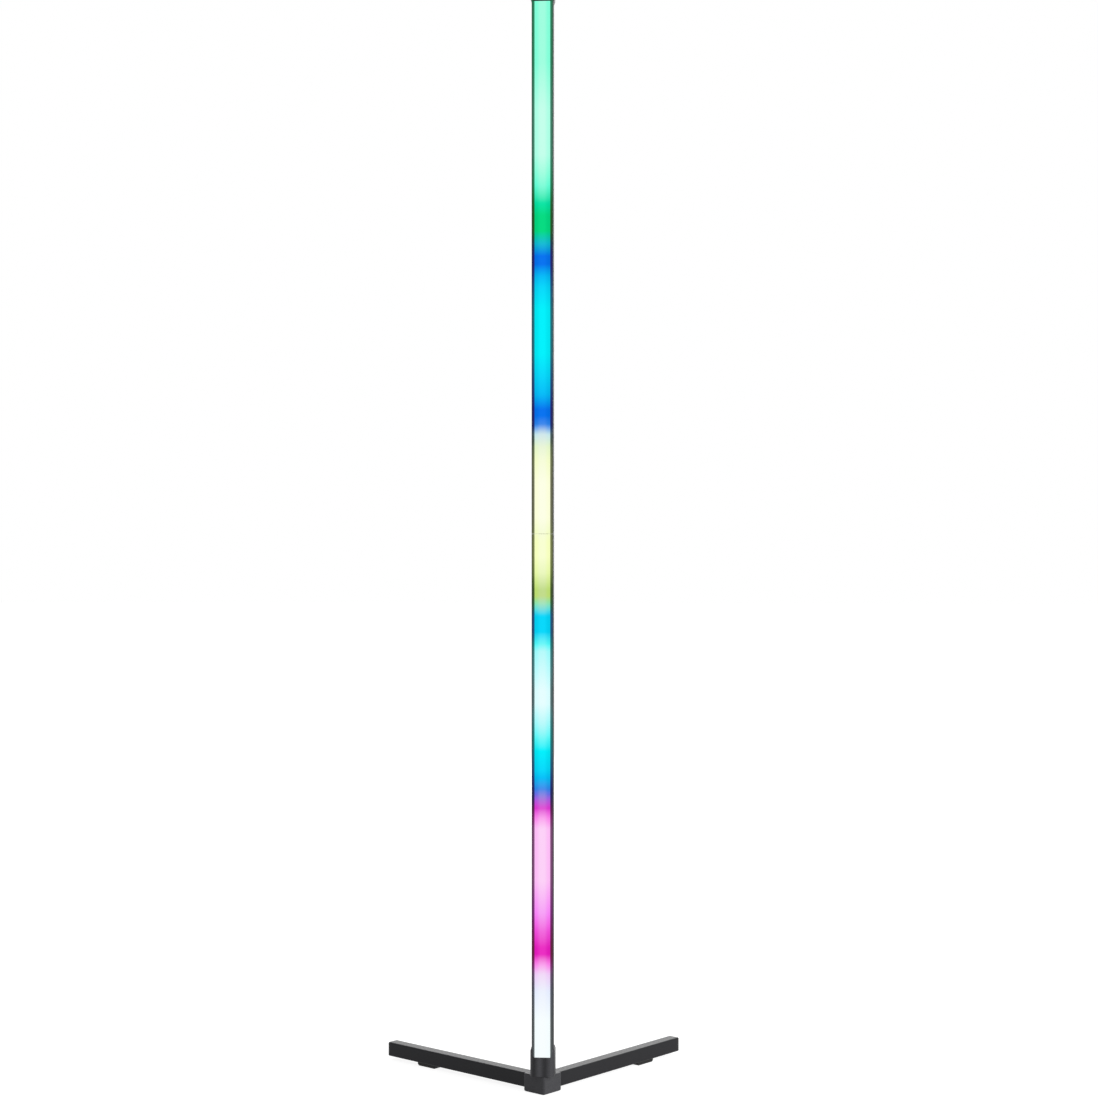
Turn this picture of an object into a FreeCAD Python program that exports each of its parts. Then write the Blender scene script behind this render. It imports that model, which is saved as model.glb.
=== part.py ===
import FreeCAD, Part
import math
import os

from FreeCAD import Vector

# A corner floor lamp: a slim upright light bar on a low base of two legs, which spread at a right
# angle so that the lamp stands in the corner of a room. Millimetres, Z up. The origin is on the
# floor under the axis of the pole, where the centre lines of the legs cross. The lit side faces -Y,
# and each leg runs back and outwards, half of the spread angle away from +Y.

# ---------------------------------------------------------------- driving dimensions

# pole: two equal lengths of one extruded section
SECTION_LENGTH = 582.5
SECTION_SEAM = 0.3
PROFILE_WIDTH = 23.5
PROFILE_DEPTH = 20.0
PROFILE_WALL = 1.4
PROFILE_FRONT_RADIUS = 1.5
PROFILE_REAR_RADIUS = 3.0
LIP_WIDTH = 3.2
LIP_THICKNESS = 1.2
GROOVE_HEIGHT = 1.6
GROOVE_RIB_WIDTH = 1.0
GROOVE_RIB_THICKNESS = 1.0
LIGHT_CHAMBER_DEPTH = 7.8
SHELF_THICKNESS = 1.4
DUCT_CORNER_RADIUS = 1.0
PORT_RADIUS = 2.6
PORT_BORE_RADIUS = 1.45
PORT_SLOT_WIDTH = 1.5
PORT_SINK = 0.4

# diffuser: a domed opal strip that snaps in behind the lips
DIFFUSER_THICKNESS = 1.2
DIFFUSER_DOME = 0.5
DIFFUSER_CLEARANCE = 0.1
DIFFUSER_CHEEK = 1.2

# light strips on the shelf
STRIP_WIDTH = 12.0
STRIP_THICKNESS = 0.4
STRIP_START = 16.0
STRIP_END_MARGIN = 4.0
CHIP_SIDE = 5.0
CHIP_HEIGHT = 1.5
CHIP_PITCH = 16.6
CHIP_END_MARGIN = 10.0

# push-together connector between the two strips
LINK_WIDTH = 10.0
LINK_HEIGHT = 3.0
LINK_LENGTH = 8.5
LINK_PIN_RADIUS = 0.4
LINK_PIN_PITCH = 2.54
LINK_PIN_COUNT = 3
LINK_PIN_REACH = 5.0
LINK_PIN_CLEARANCE = 0.1

# bar in the rear duct that joins the two lengths
SPLICE_LENGTH = 90.0
SPLICE_WIDTH = 9.8
SPLICE_THICKNESS = 5.0
SPLICE_CHAMFER = 0.6
SPLICE_CLEARANCE = 0.1
SPLICE_SCREW_STEPS = (15.0, 35.0)

# socket that holds the foot of the pole
SOCKET_HEIGHT = 30.3
SOCKET_FLOOR = 6.0
SOCKET_SIDE_WALL = 1.5
SOCKET_FRONT_WALL = 1.85
SOCKET_FRONT_RADIUS = 6.0
SOCKET_REAR_RADIUS = 3.5
SOCKET_BEVEL_HEIGHT = 3.2
SOCKET_BEVEL_WIDTH = 1.15
POLE_CLEARANCE = 0.15
WINDOW_WIDTH = 21.0
WINDOW_SILL = 20.7
WINDOW_RADIUS = 2.5

# top cap
CAP_TOP_RISE = 8.7
CAP_SKIRT = 4.7
CAP_WALL = 1.2
CAP_TOP_PLATE = 2.4
CAP_LEDGE = 1.6
CAP_HOLLOW_RADIUS = 1.5
CAP_CLEARANCE = 0.1
CAP_FRONT_RADIUS = 4.5
CAP_REAR_RADIUS = 4.0
CAP_BEVEL_HEIGHT = 3.0
CAP_BEVEL_WIDTH = 1.1
CAP_TOP_CHAMFER = 1.0
CAP_BOSS_RADIUS = 3.2

# hub: a cast elbow under the socket, with a spigot for each leg; the base stands turned a little
# under the pole, counter-clockwise from above
SPREAD_ANGLE = 90.0
BASE_TURN = 7.3
HUB_TOP = 20.0
HUB_RIM_HEIGHT = 0.8
HUB_ARM_WIDTH = 19.0
HUB_ARM_REACH = 20.0
HUB_NOSE_RADIUS = 3.0
HUB_END_RADIUS = 2.0
HUB_INNER_RADIUS = 3.0
HUB_SMALL_RADIUS = 0.3
HUB_TOE_RADIUS = 3.0
HUB_TOP_CHAMFER = 0.6
HUB_RIM_WALL = 1.5
SPIGOT_LENGTH = 24.0
SPIGOT_CLEARANCE = 0.15
SPIGOT_CHAMFER = 1.0
PLATE_THICKNESS = 1.5
PLATE_CLEARANCE = 0.15
PAD_THICKNESS = 1.5

# legs
LEG_WIDTH = 14.5
LEG_HEIGHT = 16.0
LEG_WALL = 1.2
LEG_RADIUS = 1.6
LEG_INNER_RADIUS = 0.4
LEG_LENGTH = 210.5
LEG_UNDERSIDE = 3.8
LEG_SCREW_STEPS = (8.0, 18.0)

# plugs in the leg ends
PLUG_FLANGE = 2.5
PLUG_LENGTH = 14.0
PLUG_WALL = 1.5
PLUG_CLEARANCE = 0.15
PLUG_EDGE_CHAMFER = 0.6

# rubber feet
FOOT_CENTRE = 173.0
FOOT_LENGTH = 28.0
FOOT_WIDTH = 9.5
FOOT_END_SLOPE = 1.6
FOOT_EDGE_RADIUS = 0.5
FOOT_PEG_RADIUS = 1.9
FOOT_PEG_SPACING = 18.0
FOOT_PEG_GRIP = 1.4
FOOT_PEG_CLEARANCE = 0.1

# screws: head radius, head height, shank radius, shank length, drive across flats, drive depth
PORT_SCREW = (2.8, 2.0, 1.4, 16.0, 2.0, 1.0)
CAP_SCREW = (2.6, 1.6, 1.4, 20.0, 1.8, 0.9)
SOCKET_BOLT = (4.25, 5.0, 2.5, 16.2, 4.0, 2.5)
LEG_SCREW = (3.2, 1.2, 1.9, 8.0, 2.5, 0.7)
PLATE_SCREW = (2.7, 1.2, 1.4, 7.0, 1.8, 0.7)
SPLICE_SCREW = (3.3, 1.9, 1.9, 6.0, 2.5, 1.0)
SCREW_CLEARANCE = 0.15
SCREW_SINK = 0.05
HEAD_SIDES = 16
HEAD_RIM = 0.15
SHANK_SIDES = 8
BORE_SIDES = 12
BOLT_HEAD_CLEARANCE = 0.35
BOLT_SHOULDER = 1.0
BOLT_SPACING = 10.4
PLATE_SCREW_REACH = 14.0

# power inlet in the back of the pole
INLET_HEIGHT = 62.0
INLET_BODY_RADIUS = 4.0
INLET_BODY_LENGTH = 8.8
INLET_FLANGE_RADIUS = 5.6
INLET_FLANGE_THICKNESS = 1.5
INLET_BORE_RADIUS = 3.1
INLET_BORE_DEPTH = 9.0
INLET_PIN_RADIUS = 1.0
INLET_PIN_LENGTH = 7.5
INLET_NUT_FLATS = 10.0
INLET_NUT_THICKNESS = 2.2
INLET_CLEARANCE = 0.1
INLET_RIM_CHAMFER = 0.5
INLET_TAGS = (-2.6, -0.6)
TAG_WIDTH = 1.4
TAG_THICKNESS = 0.5
TAG_LENGTH = 1.9

# control board in the rear duct
BOARD_START = 20.0
BOARD_LENGTH = 60.0
BOARD_WIDTH = 10.0
BOARD_THICKNESS = 1.2
BOARD_TAPE = 0.8
BOARD_TAPE_LENGTH = 50.0

# on the board: low side, high side, height, start and length of each block
BOARD_BLOCKS = ((-3.0, 3.0, 1.6, 30.0, 6.0), (-3.2, 0.2, 2.3, 14.0, 6.5), (-4.4, 4.4, 1.0, 50.0, 8.0))
# and side place, level, radius and height of each can: a coil and two capacitors
BOARD_CANS = ((1.6, 24.5, 2.4, 2.4), (0.0, 41.0, 1.9, 4.2), (0.0, 45.5, 1.9, 4.2))

# insulated leads
LEAD_RADIUS = 0.6
LEAD_SIDES = 6
LEAD_JOINT = 6.0
LEAD_LOOP = 10.0
LEAD_END = 4.0
STRIP_LEADS = (1.2, 2.6, 4.0)
LEAD_SIDE_STEP = 4.5
LEAD_NOTCH_HEIGHT = 12.0

# ---------------------------------------------------------------- levels and places

hub_top = HUB_TOP
pole_foot = hub_top + SOCKET_FLOOR
seam_bottom = pole_foot + SECTION_LENGTH
seam_top = seam_bottom + SECTION_SEAM
pole_top = seam_top + SECTION_LENGTH
lamp_top = pole_top + CAP_TOP_RISE

front = -PROFILE_DEPTH / 2
back = PROFILE_DEPTH / 2
half_width = PROFILE_WIDTH / 2
inner_half = half_width - PROFILE_WALL
opening_half = half_width - LIP_WIDTH
lip_back = front + LIP_THICKNESS
groove_back = lip_back + GROOVE_HEIGHT
rib_back = groove_back + GROOVE_RIB_THICKNESS
shelf_front = lip_back + LIGHT_CHAMBER_DEPTH
shelf_back = shelf_front + SHELF_THICKNESS
duct_back = back - PROFILE_WALL
port_x = inner_half - PORT_RADIUS + PORT_SINK
port_y = duct_back - PORT_RADIUS + PORT_SINK

strip_front = shelf_front - STRIP_THICKNESS
socket_half_width = half_width + POLE_CLEARANCE + SOCKET_SIDE_WALL
socket_half_depth = PROFILE_DEPTH / 2 + POLE_CLEARANCE + SOCKET_FRONT_WALL
cap_half_width = half_width + CAP_CLEARANCE + CAP_WALL
cap_half_depth = PROFILE_DEPTH / 2 + CAP_CLEARANCE + CAP_WALL

hub_recess_top = PAD_THICKNESS + PLATE_THICKNESS
leg_start = HUB_ARM_REACH
leg_end = leg_start + LEG_LENGTH
leg_top = LEG_UNDERSIDE + LEG_HEIGHT
BASE_REAR = 90.0 + BASE_TURN
LEG_ANGLES = {"right": BASE_REAR - SPREAD_ANGLE / 2, "left": BASE_REAR + SPREAD_ANGLE / 2}

UP = Vector(0, 0, 1)
FORWARD = Vector(0, -1, 0)
ORIGIN = Vector(0, 0, 0)


# ---------------------------------------------------------------- shape helpers

def outline(corners, z=0.0):
    """Closed wire through (x, y, radius) corners, each rounded by its own radius."""
    count = len(corners)
    starts, middles, ends = [], [], []
    for index, (x, y, radius) in enumerate(corners):
        here = Vector(x, y, z)
        before = Vector(corners[index - 1][0], corners[index - 1][1], z) - here
        after = Vector(corners[(index + 1) % count][0], corners[(index + 1) % count][1], z) - here
        before.normalize()
        after.normalize()
        if radius <= 0:
            starts.append(here)
            middles.append(None)
            ends.append(here)
            continue
        half_angle = before.getAngle(after) / 2
        bisector = before + after
        bisector.normalize()
        centre = here + bisector * (radius / math.sin(half_angle))
        starts.append(here + before * (radius / math.tan(half_angle)))
        middles.append(centre - bisector * radius)
        ends.append(here + after * (radius / math.tan(half_angle)))
    edges = []
    for index in range(count):
        if middles[index] is not None:
            edges.append(Part.Arc(starts[index], middles[index], ends[index]).toShape())
        following = starts[(index + 1) % count]
        if (following - ends[index]).Length > 1e-6:
            edges.append(Part.LineSegment(ends[index], following).toShape())
    return Part.Wire(edges)


def face(corners, z=0.0):
    return Part.Face(outline(corners, z))


def prism(corners, z_low, z_high):
    return face(corners, z_low).extrude(Vector(0, 0, z_high - z_low))


def rectangle(half_x, y_low, y_high, low_radius=0.0, high_radius=0.0):
    """Corners of a rectangle centred on x = 0, with its own radius at each end in y."""
    return [
        (-half_x, y_low, low_radius),
        (half_x, y_low, low_radius),
        (half_x, y_high, high_radius),
        (-half_x, y_high, high_radius),
    ]


def block(x_low, x_high, y_low, y_high, z_low, z_high):
    corner = Vector(x_low, y_low, z_low)
    return Part.makeBox(x_high - x_low, y_high - y_low, z_high - z_low, corner)


def turned(shape, angle):
    """Copy of the shape, turned about the Z axis through the origin."""
    copy = shape.copy()
    copy.rotate(ORIGIN, UP, angle)
    return copy


def placed(shape, point, direction):
    """Copy of a shape made along +Z, moved to the point with +Z turned to the direction."""
    copy = shape.copy()
    place = FreeCAD.Placement(point, FreeCAD.Rotation(UP, direction))
    copy.Placement = place.multiply(copy.Placement)
    return copy


def polygon(radius, sides):
    """Sharp corners of a regular polygon inside a circle about the origin."""
    turns = [2 * math.pi * step / sides for step in range(sides)]
    return [(radius * math.cos(turn), radius * math.sin(turn), 0) for turn in turns]


def bore(radius, point, direction, length):
    """Cutter or peg for a hole that stays out of sight: a many-sided prism from the point on."""
    return placed(prism(polygon(radius, BORE_SIDES), 0, length), point, direction)


def hexagon(across_flats, z_low, z_high):
    return prism(polygon(across_flats / math.sqrt(3), 6), z_low, z_high)


def bevelled(corners, z_low, z_high, width, height):
    """Prism whose top is drawn in all round, by the width, over the last of its height."""
    body = prism(corners, z_low, z_high)
    top_edges = [edge for edge in body.Edges if edge.BoundBox.ZMin > z_high - 0.01]
    return body.makeChamfer(height, width, top_edges)


def screw(size, countersunk=False):
    """Screw along +Z with the outer face of its head at z = 0, and a hexagonal drive recess."""
    head_radius, head_height, shank_radius, shank_length, drive, drive_depth = size
    outer_face = polygon(head_radius, HEAD_SIDES)
    if countersunk:
        head = bevelled(outer_face, 0, head_height, head_radius - shank_radius, head_height - HEAD_RIM)
    else:
        head = prism(outer_face, 0, head_height)
    shank = prism(polygon(shank_radius, SHANK_SIDES), 0, shank_length + head_height)
    return head.fuse(shank).cut(hexagon(drive, -1, drive_depth)).removeSplitter()


def countersink(size):
    """Cutter for the head of a countersunk screw, along +Z from the outer face."""
    head_radius, head_height, shank_radius = size[:3]
    mouth = polygon(head_radius + SCREW_CLEARANCE, HEAD_SIDES)
    depth = head_height + SCREW_CLEARANCE
    return bevelled(mouth, -1, depth, head_radius - shank_radius, head_height - HEAD_RIM)


def cylinder(radius, point, direction, length):
    return Part.makeCylinder(radius, length, point, direction)


def lead(points):
    """Insulated wire through the points, six-sided and mitred at its bends."""
    path = Part.makePolygon(points)
    section = outline(polygon(LEAD_RADIUS, LEAD_SIDES))
    section.Placement = FreeCAD.Placement(points[0], FreeCAD.Rotation(UP, points[1] - points[0]))
    mitred = 1
    return path.makePipeShell([section], True, False, mitred)


def group(solids):
    return Part.makeCompound(solids)


def save(name, shape):
    shape.exportStep("parts/" + name + ".step")


# ---------------------------------------------------------------- pole

def profile_section():
    """Cross-section of the extrusion: light chamber, shelf, rear duct and two screw ports."""
    outer = rectangle(half_width, front, back, PROFILE_FRONT_RADIUS, PROFILE_REAR_RADIUS)
    section = face(outer)
    section = section.cut(face(rectangle(inner_half, lip_back, shelf_front)))
    section = section.cut(face(rectangle(opening_half, front - 1, lip_back)))
    duct = rectangle(inner_half, shelf_back, duct_back, 0, DUCT_CORNER_RADIUS)
    section = section.cut(face(duct))
    for side in (-1, 1):
        wall = side * inner_half
        tip = side * (inner_half - GROOVE_RIB_WIDTH)
        rib = [(wall, groove_back, 0), (tip, groove_back, 0), (tip, rib_back, 0), (wall, rib_back, 0)]
        section = section.fuse(face(rib))
        centre = Vector(side * port_x, port_y, 0)
        port = Part.Face(Part.Wire(Part.Circle(centre, UP, PORT_RADIUS).toShape()))
        section = section.fuse(port)
        bore = Part.Face(Part.Wire(Part.Circle(centre, UP, PORT_BORE_RADIUS).toShape()))
        slot_end = side * (port_x - PORT_RADIUS - 1)
        slot = [
            (side * port_x, port_y - PORT_SLOT_WIDTH / 2, 0),
            (slot_end, port_y - PORT_SLOT_WIDTH / 2, 0),
            (slot_end, port_y + PORT_SLOT_WIDTH / 2, 0),
            (side * port_x, port_y + PORT_SLOT_WIDTH / 2, 0),
        ]
        section = section.cut(bore).cut(face(slot))
    return section.removeSplitter()


def profile_length(z_low):
    """One length of the extrusion, standing on z_low."""
    bar = profile_section().Faces[0].extrude(Vector(0, 0, SECTION_LENGTH))
    bar.translate(Vector(0, 0, z_low))
    return bar


def splice_screw_levels(section_end, away):
    return [section_end + away * step for step in SPLICE_SCREW_STEPS]


def drill_splice_holes(bar, levels):
    radius = SPLICE_SCREW[2] + SCREW_CLEARANCE
    for level in levels:
        start = Vector(0, back + 1, level)
        bar = bar.cut(bore(radius, start, FORWARD, PROFILE_WALL + 2))
    return bar


def make_lower_profile():
    """Lower length, with the inlet hole, the opening for its nut and the notch for the leads."""
    bar = drill_splice_holes(profile_length(pole_foot), splice_screw_levels(seam_bottom, -1))
    inlet_hole = cylinder(
        INLET_BODY_RADIUS + INLET_CLEARANCE, Vector(0, back + 1, INLET_HEIGHT), FORWARD, PROFILE_WALL + 2
    )
    nut_half_width = INLET_NUT_FLATS / 2 + INLET_CLEARANCE
    nut_half_height = INLET_NUT_FLATS / math.sqrt(3) + INLET_CLEARANCE
    nut_opening = block(
        -nut_half_width, nut_half_width, shelf_front - 1, shelf_back + 1,
        INLET_HEIGHT - nut_half_height, INLET_HEIGHT + nut_half_height,
    )
    lead_notch = block(
        strip_lead_x(0) - 2 * LEAD_RADIUS, strip_lead_x(-1) + 2 * LEAD_RADIUS,
        shelf_front - 1, shelf_back + 1, pole_foot - 1, pole_foot + LEAD_NOTCH_HEIGHT,
    )
    return bar.cut(inlet_hole).cut(nut_opening).cut(lead_notch)


def make_upper_profile():
    return drill_splice_holes(profile_length(seam_top), splice_screw_levels(seam_top, 1))


def make_diffuser(z_low):
    """Opal strip: a domed face between the lips, and a foot on each side in the groove."""
    edge = opening_half - DIFFUSER_CLEARANCE
    foot_edge = inner_half - 2 * DIFFUSER_CLEARANCE
    foot_front = lip_back + DIFFUSER_CLEARANCE
    foot_back = groove_back - DIFFUSER_CLEARANCE
    crown = front
    shoulder = front + DIFFUSER_DOME
    cheek = edge - DIFFUSER_CHEEK
    points = [
        Vector(edge, shoulder, 0),
        Vector(edge, foot_front, 0),
        Vector(foot_edge, foot_front, 0),
        Vector(foot_edge, foot_back, 0),
        Vector(cheek, foot_back, 0),
        Vector(cheek, shoulder + DIFFUSER_THICKNESS, 0),
    ]
    mirrored = [Vector(-point.x, point.y, 0) for point in reversed(points)]
    edges = [Part.LineSegment(a, b).toShape() for a, b in zip(points, points[1:])]
    hollow_crown = Vector(0, crown + DIFFUSER_THICKNESS, 0)
    edges.append(Part.Arc(points[-1], hollow_crown, mirrored[0]).toShape())
    edges += [Part.LineSegment(a, b).toShape() for a, b in zip(mirrored, mirrored[1:])]
    edges.append(Part.Arc(mirrored[-1], Vector(0, crown, 0), points[0]).toShape())
    strip = Part.Face(Part.Wire(edges)).extrude(Vector(0, 0, SECTION_LENGTH))
    strip.translate(Vector(0, 0, z_low))
    return strip


def make_splice_bar():
    middle = (seam_bottom + seam_top) / 2
    rear = duct_back - SPLICE_CLEARANCE
    bar = block(
        -SPLICE_WIDTH / 2, SPLICE_WIDTH / 2, rear - SPLICE_THICKNESS, rear,
        middle - SPLICE_LENGTH / 2, middle + SPLICE_LENGTH / 2,
    )
    long_edges = [edge for edge in bar.Edges if edge.Length > SPLICE_LENGTH - 1]
    bar = bar.makeChamfer(SPLICE_CHAMFER, long_edges)
    levels = splice_screw_levels(seam_bottom, -1) + splice_screw_levels(seam_top, 1)
    for level in levels:
        start = Vector(0, rear + 1, level)
        bar = bar.cut(bore(SPLICE_SCREW[2] + SCREW_CLEARANCE, start, FORWARD, SPLICE_THICKNESS + 2))
    return bar


def make_splice_screws():
    levels = splice_screw_levels(seam_bottom, -1) + splice_screw_levels(seam_top, 1)
    head_face = back + SPLICE_SCREW[1]
    return group([placed(screw(SPLICE_SCREW), Vector(0, head_face, z), FORWARD) for z in levels])


# ---------------------------------------------------------------- light strips

strip_spans = {
    "lower": (pole_foot + STRIP_START, seam_bottom - STRIP_END_MARGIN),
    "upper": (seam_top + STRIP_END_MARGIN, pole_top - STRIP_END_MARGIN),
}
link_spans = {
    "socket": (strip_spans["lower"][1] - LINK_LENGTH, strip_spans["lower"][1]),
    "plug": (strip_spans["upper"][0], strip_spans["upper"][0] + LINK_LENGTH),
}


def make_led_strip(position):
    low, high = strip_spans[position]
    return block(-STRIP_WIDTH / 2, STRIP_WIDTH / 2, strip_front, shelf_front, low, high)


def make_led_chips(position):
    """Row of light chips, as many as fit between the ends of the strip and the connector."""
    low, high = strip_spans[position]
    if position == "lower":
        high = link_spans["socket"][0]
    else:
        low = link_spans["plug"][1]
    first = low + CHIP_END_MARGIN
    count = int((high - CHIP_END_MARGIN - first) / CHIP_PITCH) + 1
    half = CHIP_SIDE / 2
    chips = []
    for index in range(count):
        level = first + index * CHIP_PITCH
        chips.append(block(-half, half, strip_front - CHIP_HEIGHT, strip_front, level - half, level + half))
    return group(chips)


def link_pin_places():
    first = -LINK_PIN_PITCH * (LINK_PIN_COUNT - 1) / 2
    return [first + LINK_PIN_PITCH * index for index in range(LINK_PIN_COUNT)]


def link_body(span):
    return block(-LINK_WIDTH / 2, LINK_WIDTH / 2, strip_front - LINK_HEIGHT, strip_front, span[0], span[1])


def make_strip_link_socket():
    body = link_body(link_spans["socket"])
    hole_length = LINK_PIN_REACH + 1
    for x in link_pin_places():
        mouth = Vector(x, strip_front - LINK_HEIGHT / 2, link_spans["socket"][1] + 1)
        radius = LINK_PIN_RADIUS + LINK_PIN_CLEARANCE
        body = body.cut(bore(radius, mouth, -UP, hole_length + 1))
    return body


def make_strip_link_plug():
    body = link_body(link_spans["plug"])
    pin_tip = link_spans["socket"][1] - LINK_PIN_REACH
    for x in link_pin_places():
        tip = Vector(x, strip_front - LINK_HEIGHT / 2, pin_tip)
        body = body.fuse(bore(LINK_PIN_RADIUS, tip, UP, link_spans["plug"][0] + 1 - pin_tip))
    return body.removeSplitter()


# ---------------------------------------------------------------- inlet, board and leads

board_low = INLET_HEIGHT + BOARD_START
board_front = shelf_back + BOARD_TAPE
board_back = board_front + BOARD_THICKNESS
inlet_body_front = back - INLET_BODY_LENGTH
inlet_face = back + INLET_FLANGE_THICKNESS
tag_top = INLET_HEIGHT + TAG_THICKNESS / 2


def make_dc_inlet_jack():
    """Round inlet: flange behind the pole, hollow barrel with its centre pin, and two tags."""
    rear_face = Vector(0, inlet_face, INLET_HEIGHT)
    jack = cylinder(INLET_FLANGE_RADIUS, rear_face, FORWARD, INLET_FLANGE_THICKNESS)
    rim = [edge for edge in jack.Edges if edge.BoundBox.YMin > inlet_face - 0.01]
    jack = jack.makeChamfer(INLET_RIM_CHAMFER, rim)
    jack = jack.fuse(cylinder(INLET_BODY_RADIUS, Vector(0, back, INLET_HEIGHT), FORWARD, INLET_BODY_LENGTH))
    jack = jack.cut(cylinder(INLET_BORE_RADIUS, rear_face, FORWARD, INLET_BORE_DEPTH))
    pin_root = Vector(0, inlet_face - INLET_BORE_DEPTH, INLET_HEIGHT)
    jack = jack.fuse(cylinder(INLET_PIN_RADIUS, pin_root, -FORWARD, INLET_PIN_LENGTH))
    for x in INLET_TAGS:
        tag = block(
            x - TAG_WIDTH / 2, x + TAG_WIDTH / 2, inlet_body_front - TAG_LENGTH, inlet_body_front,
            INLET_HEIGHT - TAG_THICKNESS / 2, tag_top,
        )
        jack = jack.fuse(tag)
    return jack.removeSplitter()


def make_dc_inlet_nut():
    nut = hexagon(INLET_NUT_FLATS, 0, INLET_NUT_THICKNESS)
    nut = nut.cut(Part.makeCylinder(INLET_BODY_RADIUS + INLET_CLEARANCE / 2, INLET_NUT_THICKNESS))
    nut.rotate(ORIGIN, UP, 30)
    return placed(nut, Vector(0, duct_back, INLET_HEIGHT), FORWARD)


def make_board_tape():
    middle = board_low + BOARD_LENGTH / 2
    return block(
        -BOARD_WIDTH / 2, BOARD_WIDTH / 2, shelf_back, board_front,
        middle - BOARD_TAPE_LENGTH / 2, middle + BOARD_TAPE_LENGTH / 2,
    )


def make_control_board():
    return block(
        -BOARD_WIDTH / 2, BOARD_WIDTH / 2, board_front, board_back, board_low, board_low + BOARD_LENGTH
    )


def make_control_components():
    """Controller chip, regulator, connector, coil and two capacitors, each soldered to the board."""
    parts = []
    for side_low, side_high, height, start, length in BOARD_BLOCKS:
        level = board_low + start
        parts.append(block(side_low, side_high, board_back, board_back + height, level, level + length))
    for x, level, radius, height in BOARD_CANS:
        parts.append(bore(radius, Vector(x, board_back, board_low + level), -FORWARD, height))
    return group(parts)


def strip_lead_x(index):
    """Place across the duct of a strip lead where it runs down beside the inlet."""
    return STRIP_LEADS[index] + LEAD_SIDE_STEP


def make_inlet_leads():
    """Two leads from the tags of the inlet up to the board."""
    on_board = board_back + LEAD_RADIUS
    turn_level = INLET_HEIGHT + INLET_BODY_RADIUS + 2 * LEAD_RADIUS
    lead_start = inlet_body_front - TAG_LENGTH / 2
    leads = []
    for x in INLET_TAGS:
        leads.append(lead([
            Vector(x, lead_start, tag_top),
            Vector(x, lead_start, turn_level),
            Vector(x, on_board, turn_level),
            Vector(x, on_board, board_low + LEAD_JOINT),
        ]))
    return group(leads)


def make_strip_leads():
    """Three leads from the board, down the duct, under the shelf and up to the strip."""
    on_board = board_back + LEAD_RADIUS
    on_shelf = shelf_back + LEAD_RADIUS
    on_strip = strip_front - LEAD_RADIUS
    strip_low = strip_spans["lower"][0]
    under_shelf = pole_foot + LEAD_NOTCH_HEIGHT / 2
    leads = []
    for index, x in enumerate(STRIP_LEADS):
        x_down = strip_lead_x(index)
        leads.append(lead([
            Vector(x, on_board, board_low + LEAD_JOINT),
            Vector(x, on_board, board_low),
            Vector(x_down, on_shelf, board_low - LEAD_LOOP),
            Vector(x_down, on_shelf, under_shelf),
            Vector(x_down, on_strip, under_shelf),
            Vector(x, on_strip, strip_low),
            Vector(x, on_strip, strip_low + LEAD_END),
        ]))
    return group(leads)


# ---------------------------------------------------------------- socket

def make_pole_socket():
    """Collar round the foot of the pole, open in front above its sill, bevelled at the top."""
    top = hub_top + SOCKET_HEIGHT
    footprint = rectangle(
        socket_half_width, -socket_half_depth, socket_half_depth, SOCKET_FRONT_RADIUS, SOCKET_REAR_RADIUS
    )
    body = bevelled(footprint, hub_top, top, SOCKET_BEVEL_WIDTH, SOCKET_BEVEL_HEIGHT)
    pocket = rectangle(
        half_width + POLE_CLEARANCE, front - POLE_CLEARANCE, back + POLE_CLEARANCE,
        PROFILE_FRONT_RADIUS + POLE_CLEARANCE, PROFILE_REAR_RADIUS + POLE_CLEARANCE,
    )
    body = body.cut(prism(pocket, pole_foot, top + 1))
    sill = hub_top + WINDOW_SILL
    window_corners = rectangle(WINDOW_WIDTH / 2, sill, top + 5, WINDOW_RADIUS, 0)
    window = prism(window_corners, 0, SOCKET_FRONT_WALL + POLE_CLEARANCE + 2)
    window.rotate(ORIGIN, Vector(1, 0, 0), 90)
    window.translate(Vector(0, front + 1, 0))
    body = body.cut(window)
    for side in (-1, 1):
        place = Vector(side * port_x, port_y, hub_top - 1)
        body = body.cut(bore(PORT_SCREW[2] + SCREW_CLEARANCE, place, UP, SOCKET_FLOOR + 2))
        sink = PORT_SCREW[1] + 2 * SCREW_CLEARANCE
        body = body.cut(bore(PORT_SCREW[0] + 2 * SCREW_CLEARANCE, place, UP, sink + 1))
    for y in bolt_places():
        hole = SOCKET_BOLT[2] + SCREW_CLEARANCE
        body = body.cut(bore(hole, Vector(0, y, hub_top - 1), UP, SOCKET_FLOOR + 2))
    return body


def bolt_places():
    return (-BOLT_SPACING / 2, BOLT_SPACING / 2)


def make_pole_screws():
    """Two screws up through the floor of the socket into the screw ports of the extrusion."""
    head_face = hub_top + 2 * SCREW_CLEARANCE
    places = [Vector(side * port_x, port_y, head_face) for side in (-1, 1)]
    return group([placed(screw(PORT_SCREW), place, UP) for place in places])


def make_socket_bolts():
    """Two cap bolts up through the hub into the floor of the socket."""
    head_face = bolt_seat() - SOCKET_BOLT[1]
    places = [Vector(0, y, head_face) for y in bolt_places()]
    return group([placed(screw(SOCKET_BOLT), place, UP) for place in places])


def bolt_seat():
    """Level of the shoulder in the hub that the bolt heads pull against."""
    return hub_recess_top + SOCKET_BOLT[1] + BOLT_SHOULDER


# ---------------------------------------------------------------- hub

def turned_point(x, y, angle):
    turn = math.radians(angle)
    return (x * math.cos(turn) - y * math.sin(turn), x * math.sin(turn) + y * math.cos(turn))


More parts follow.
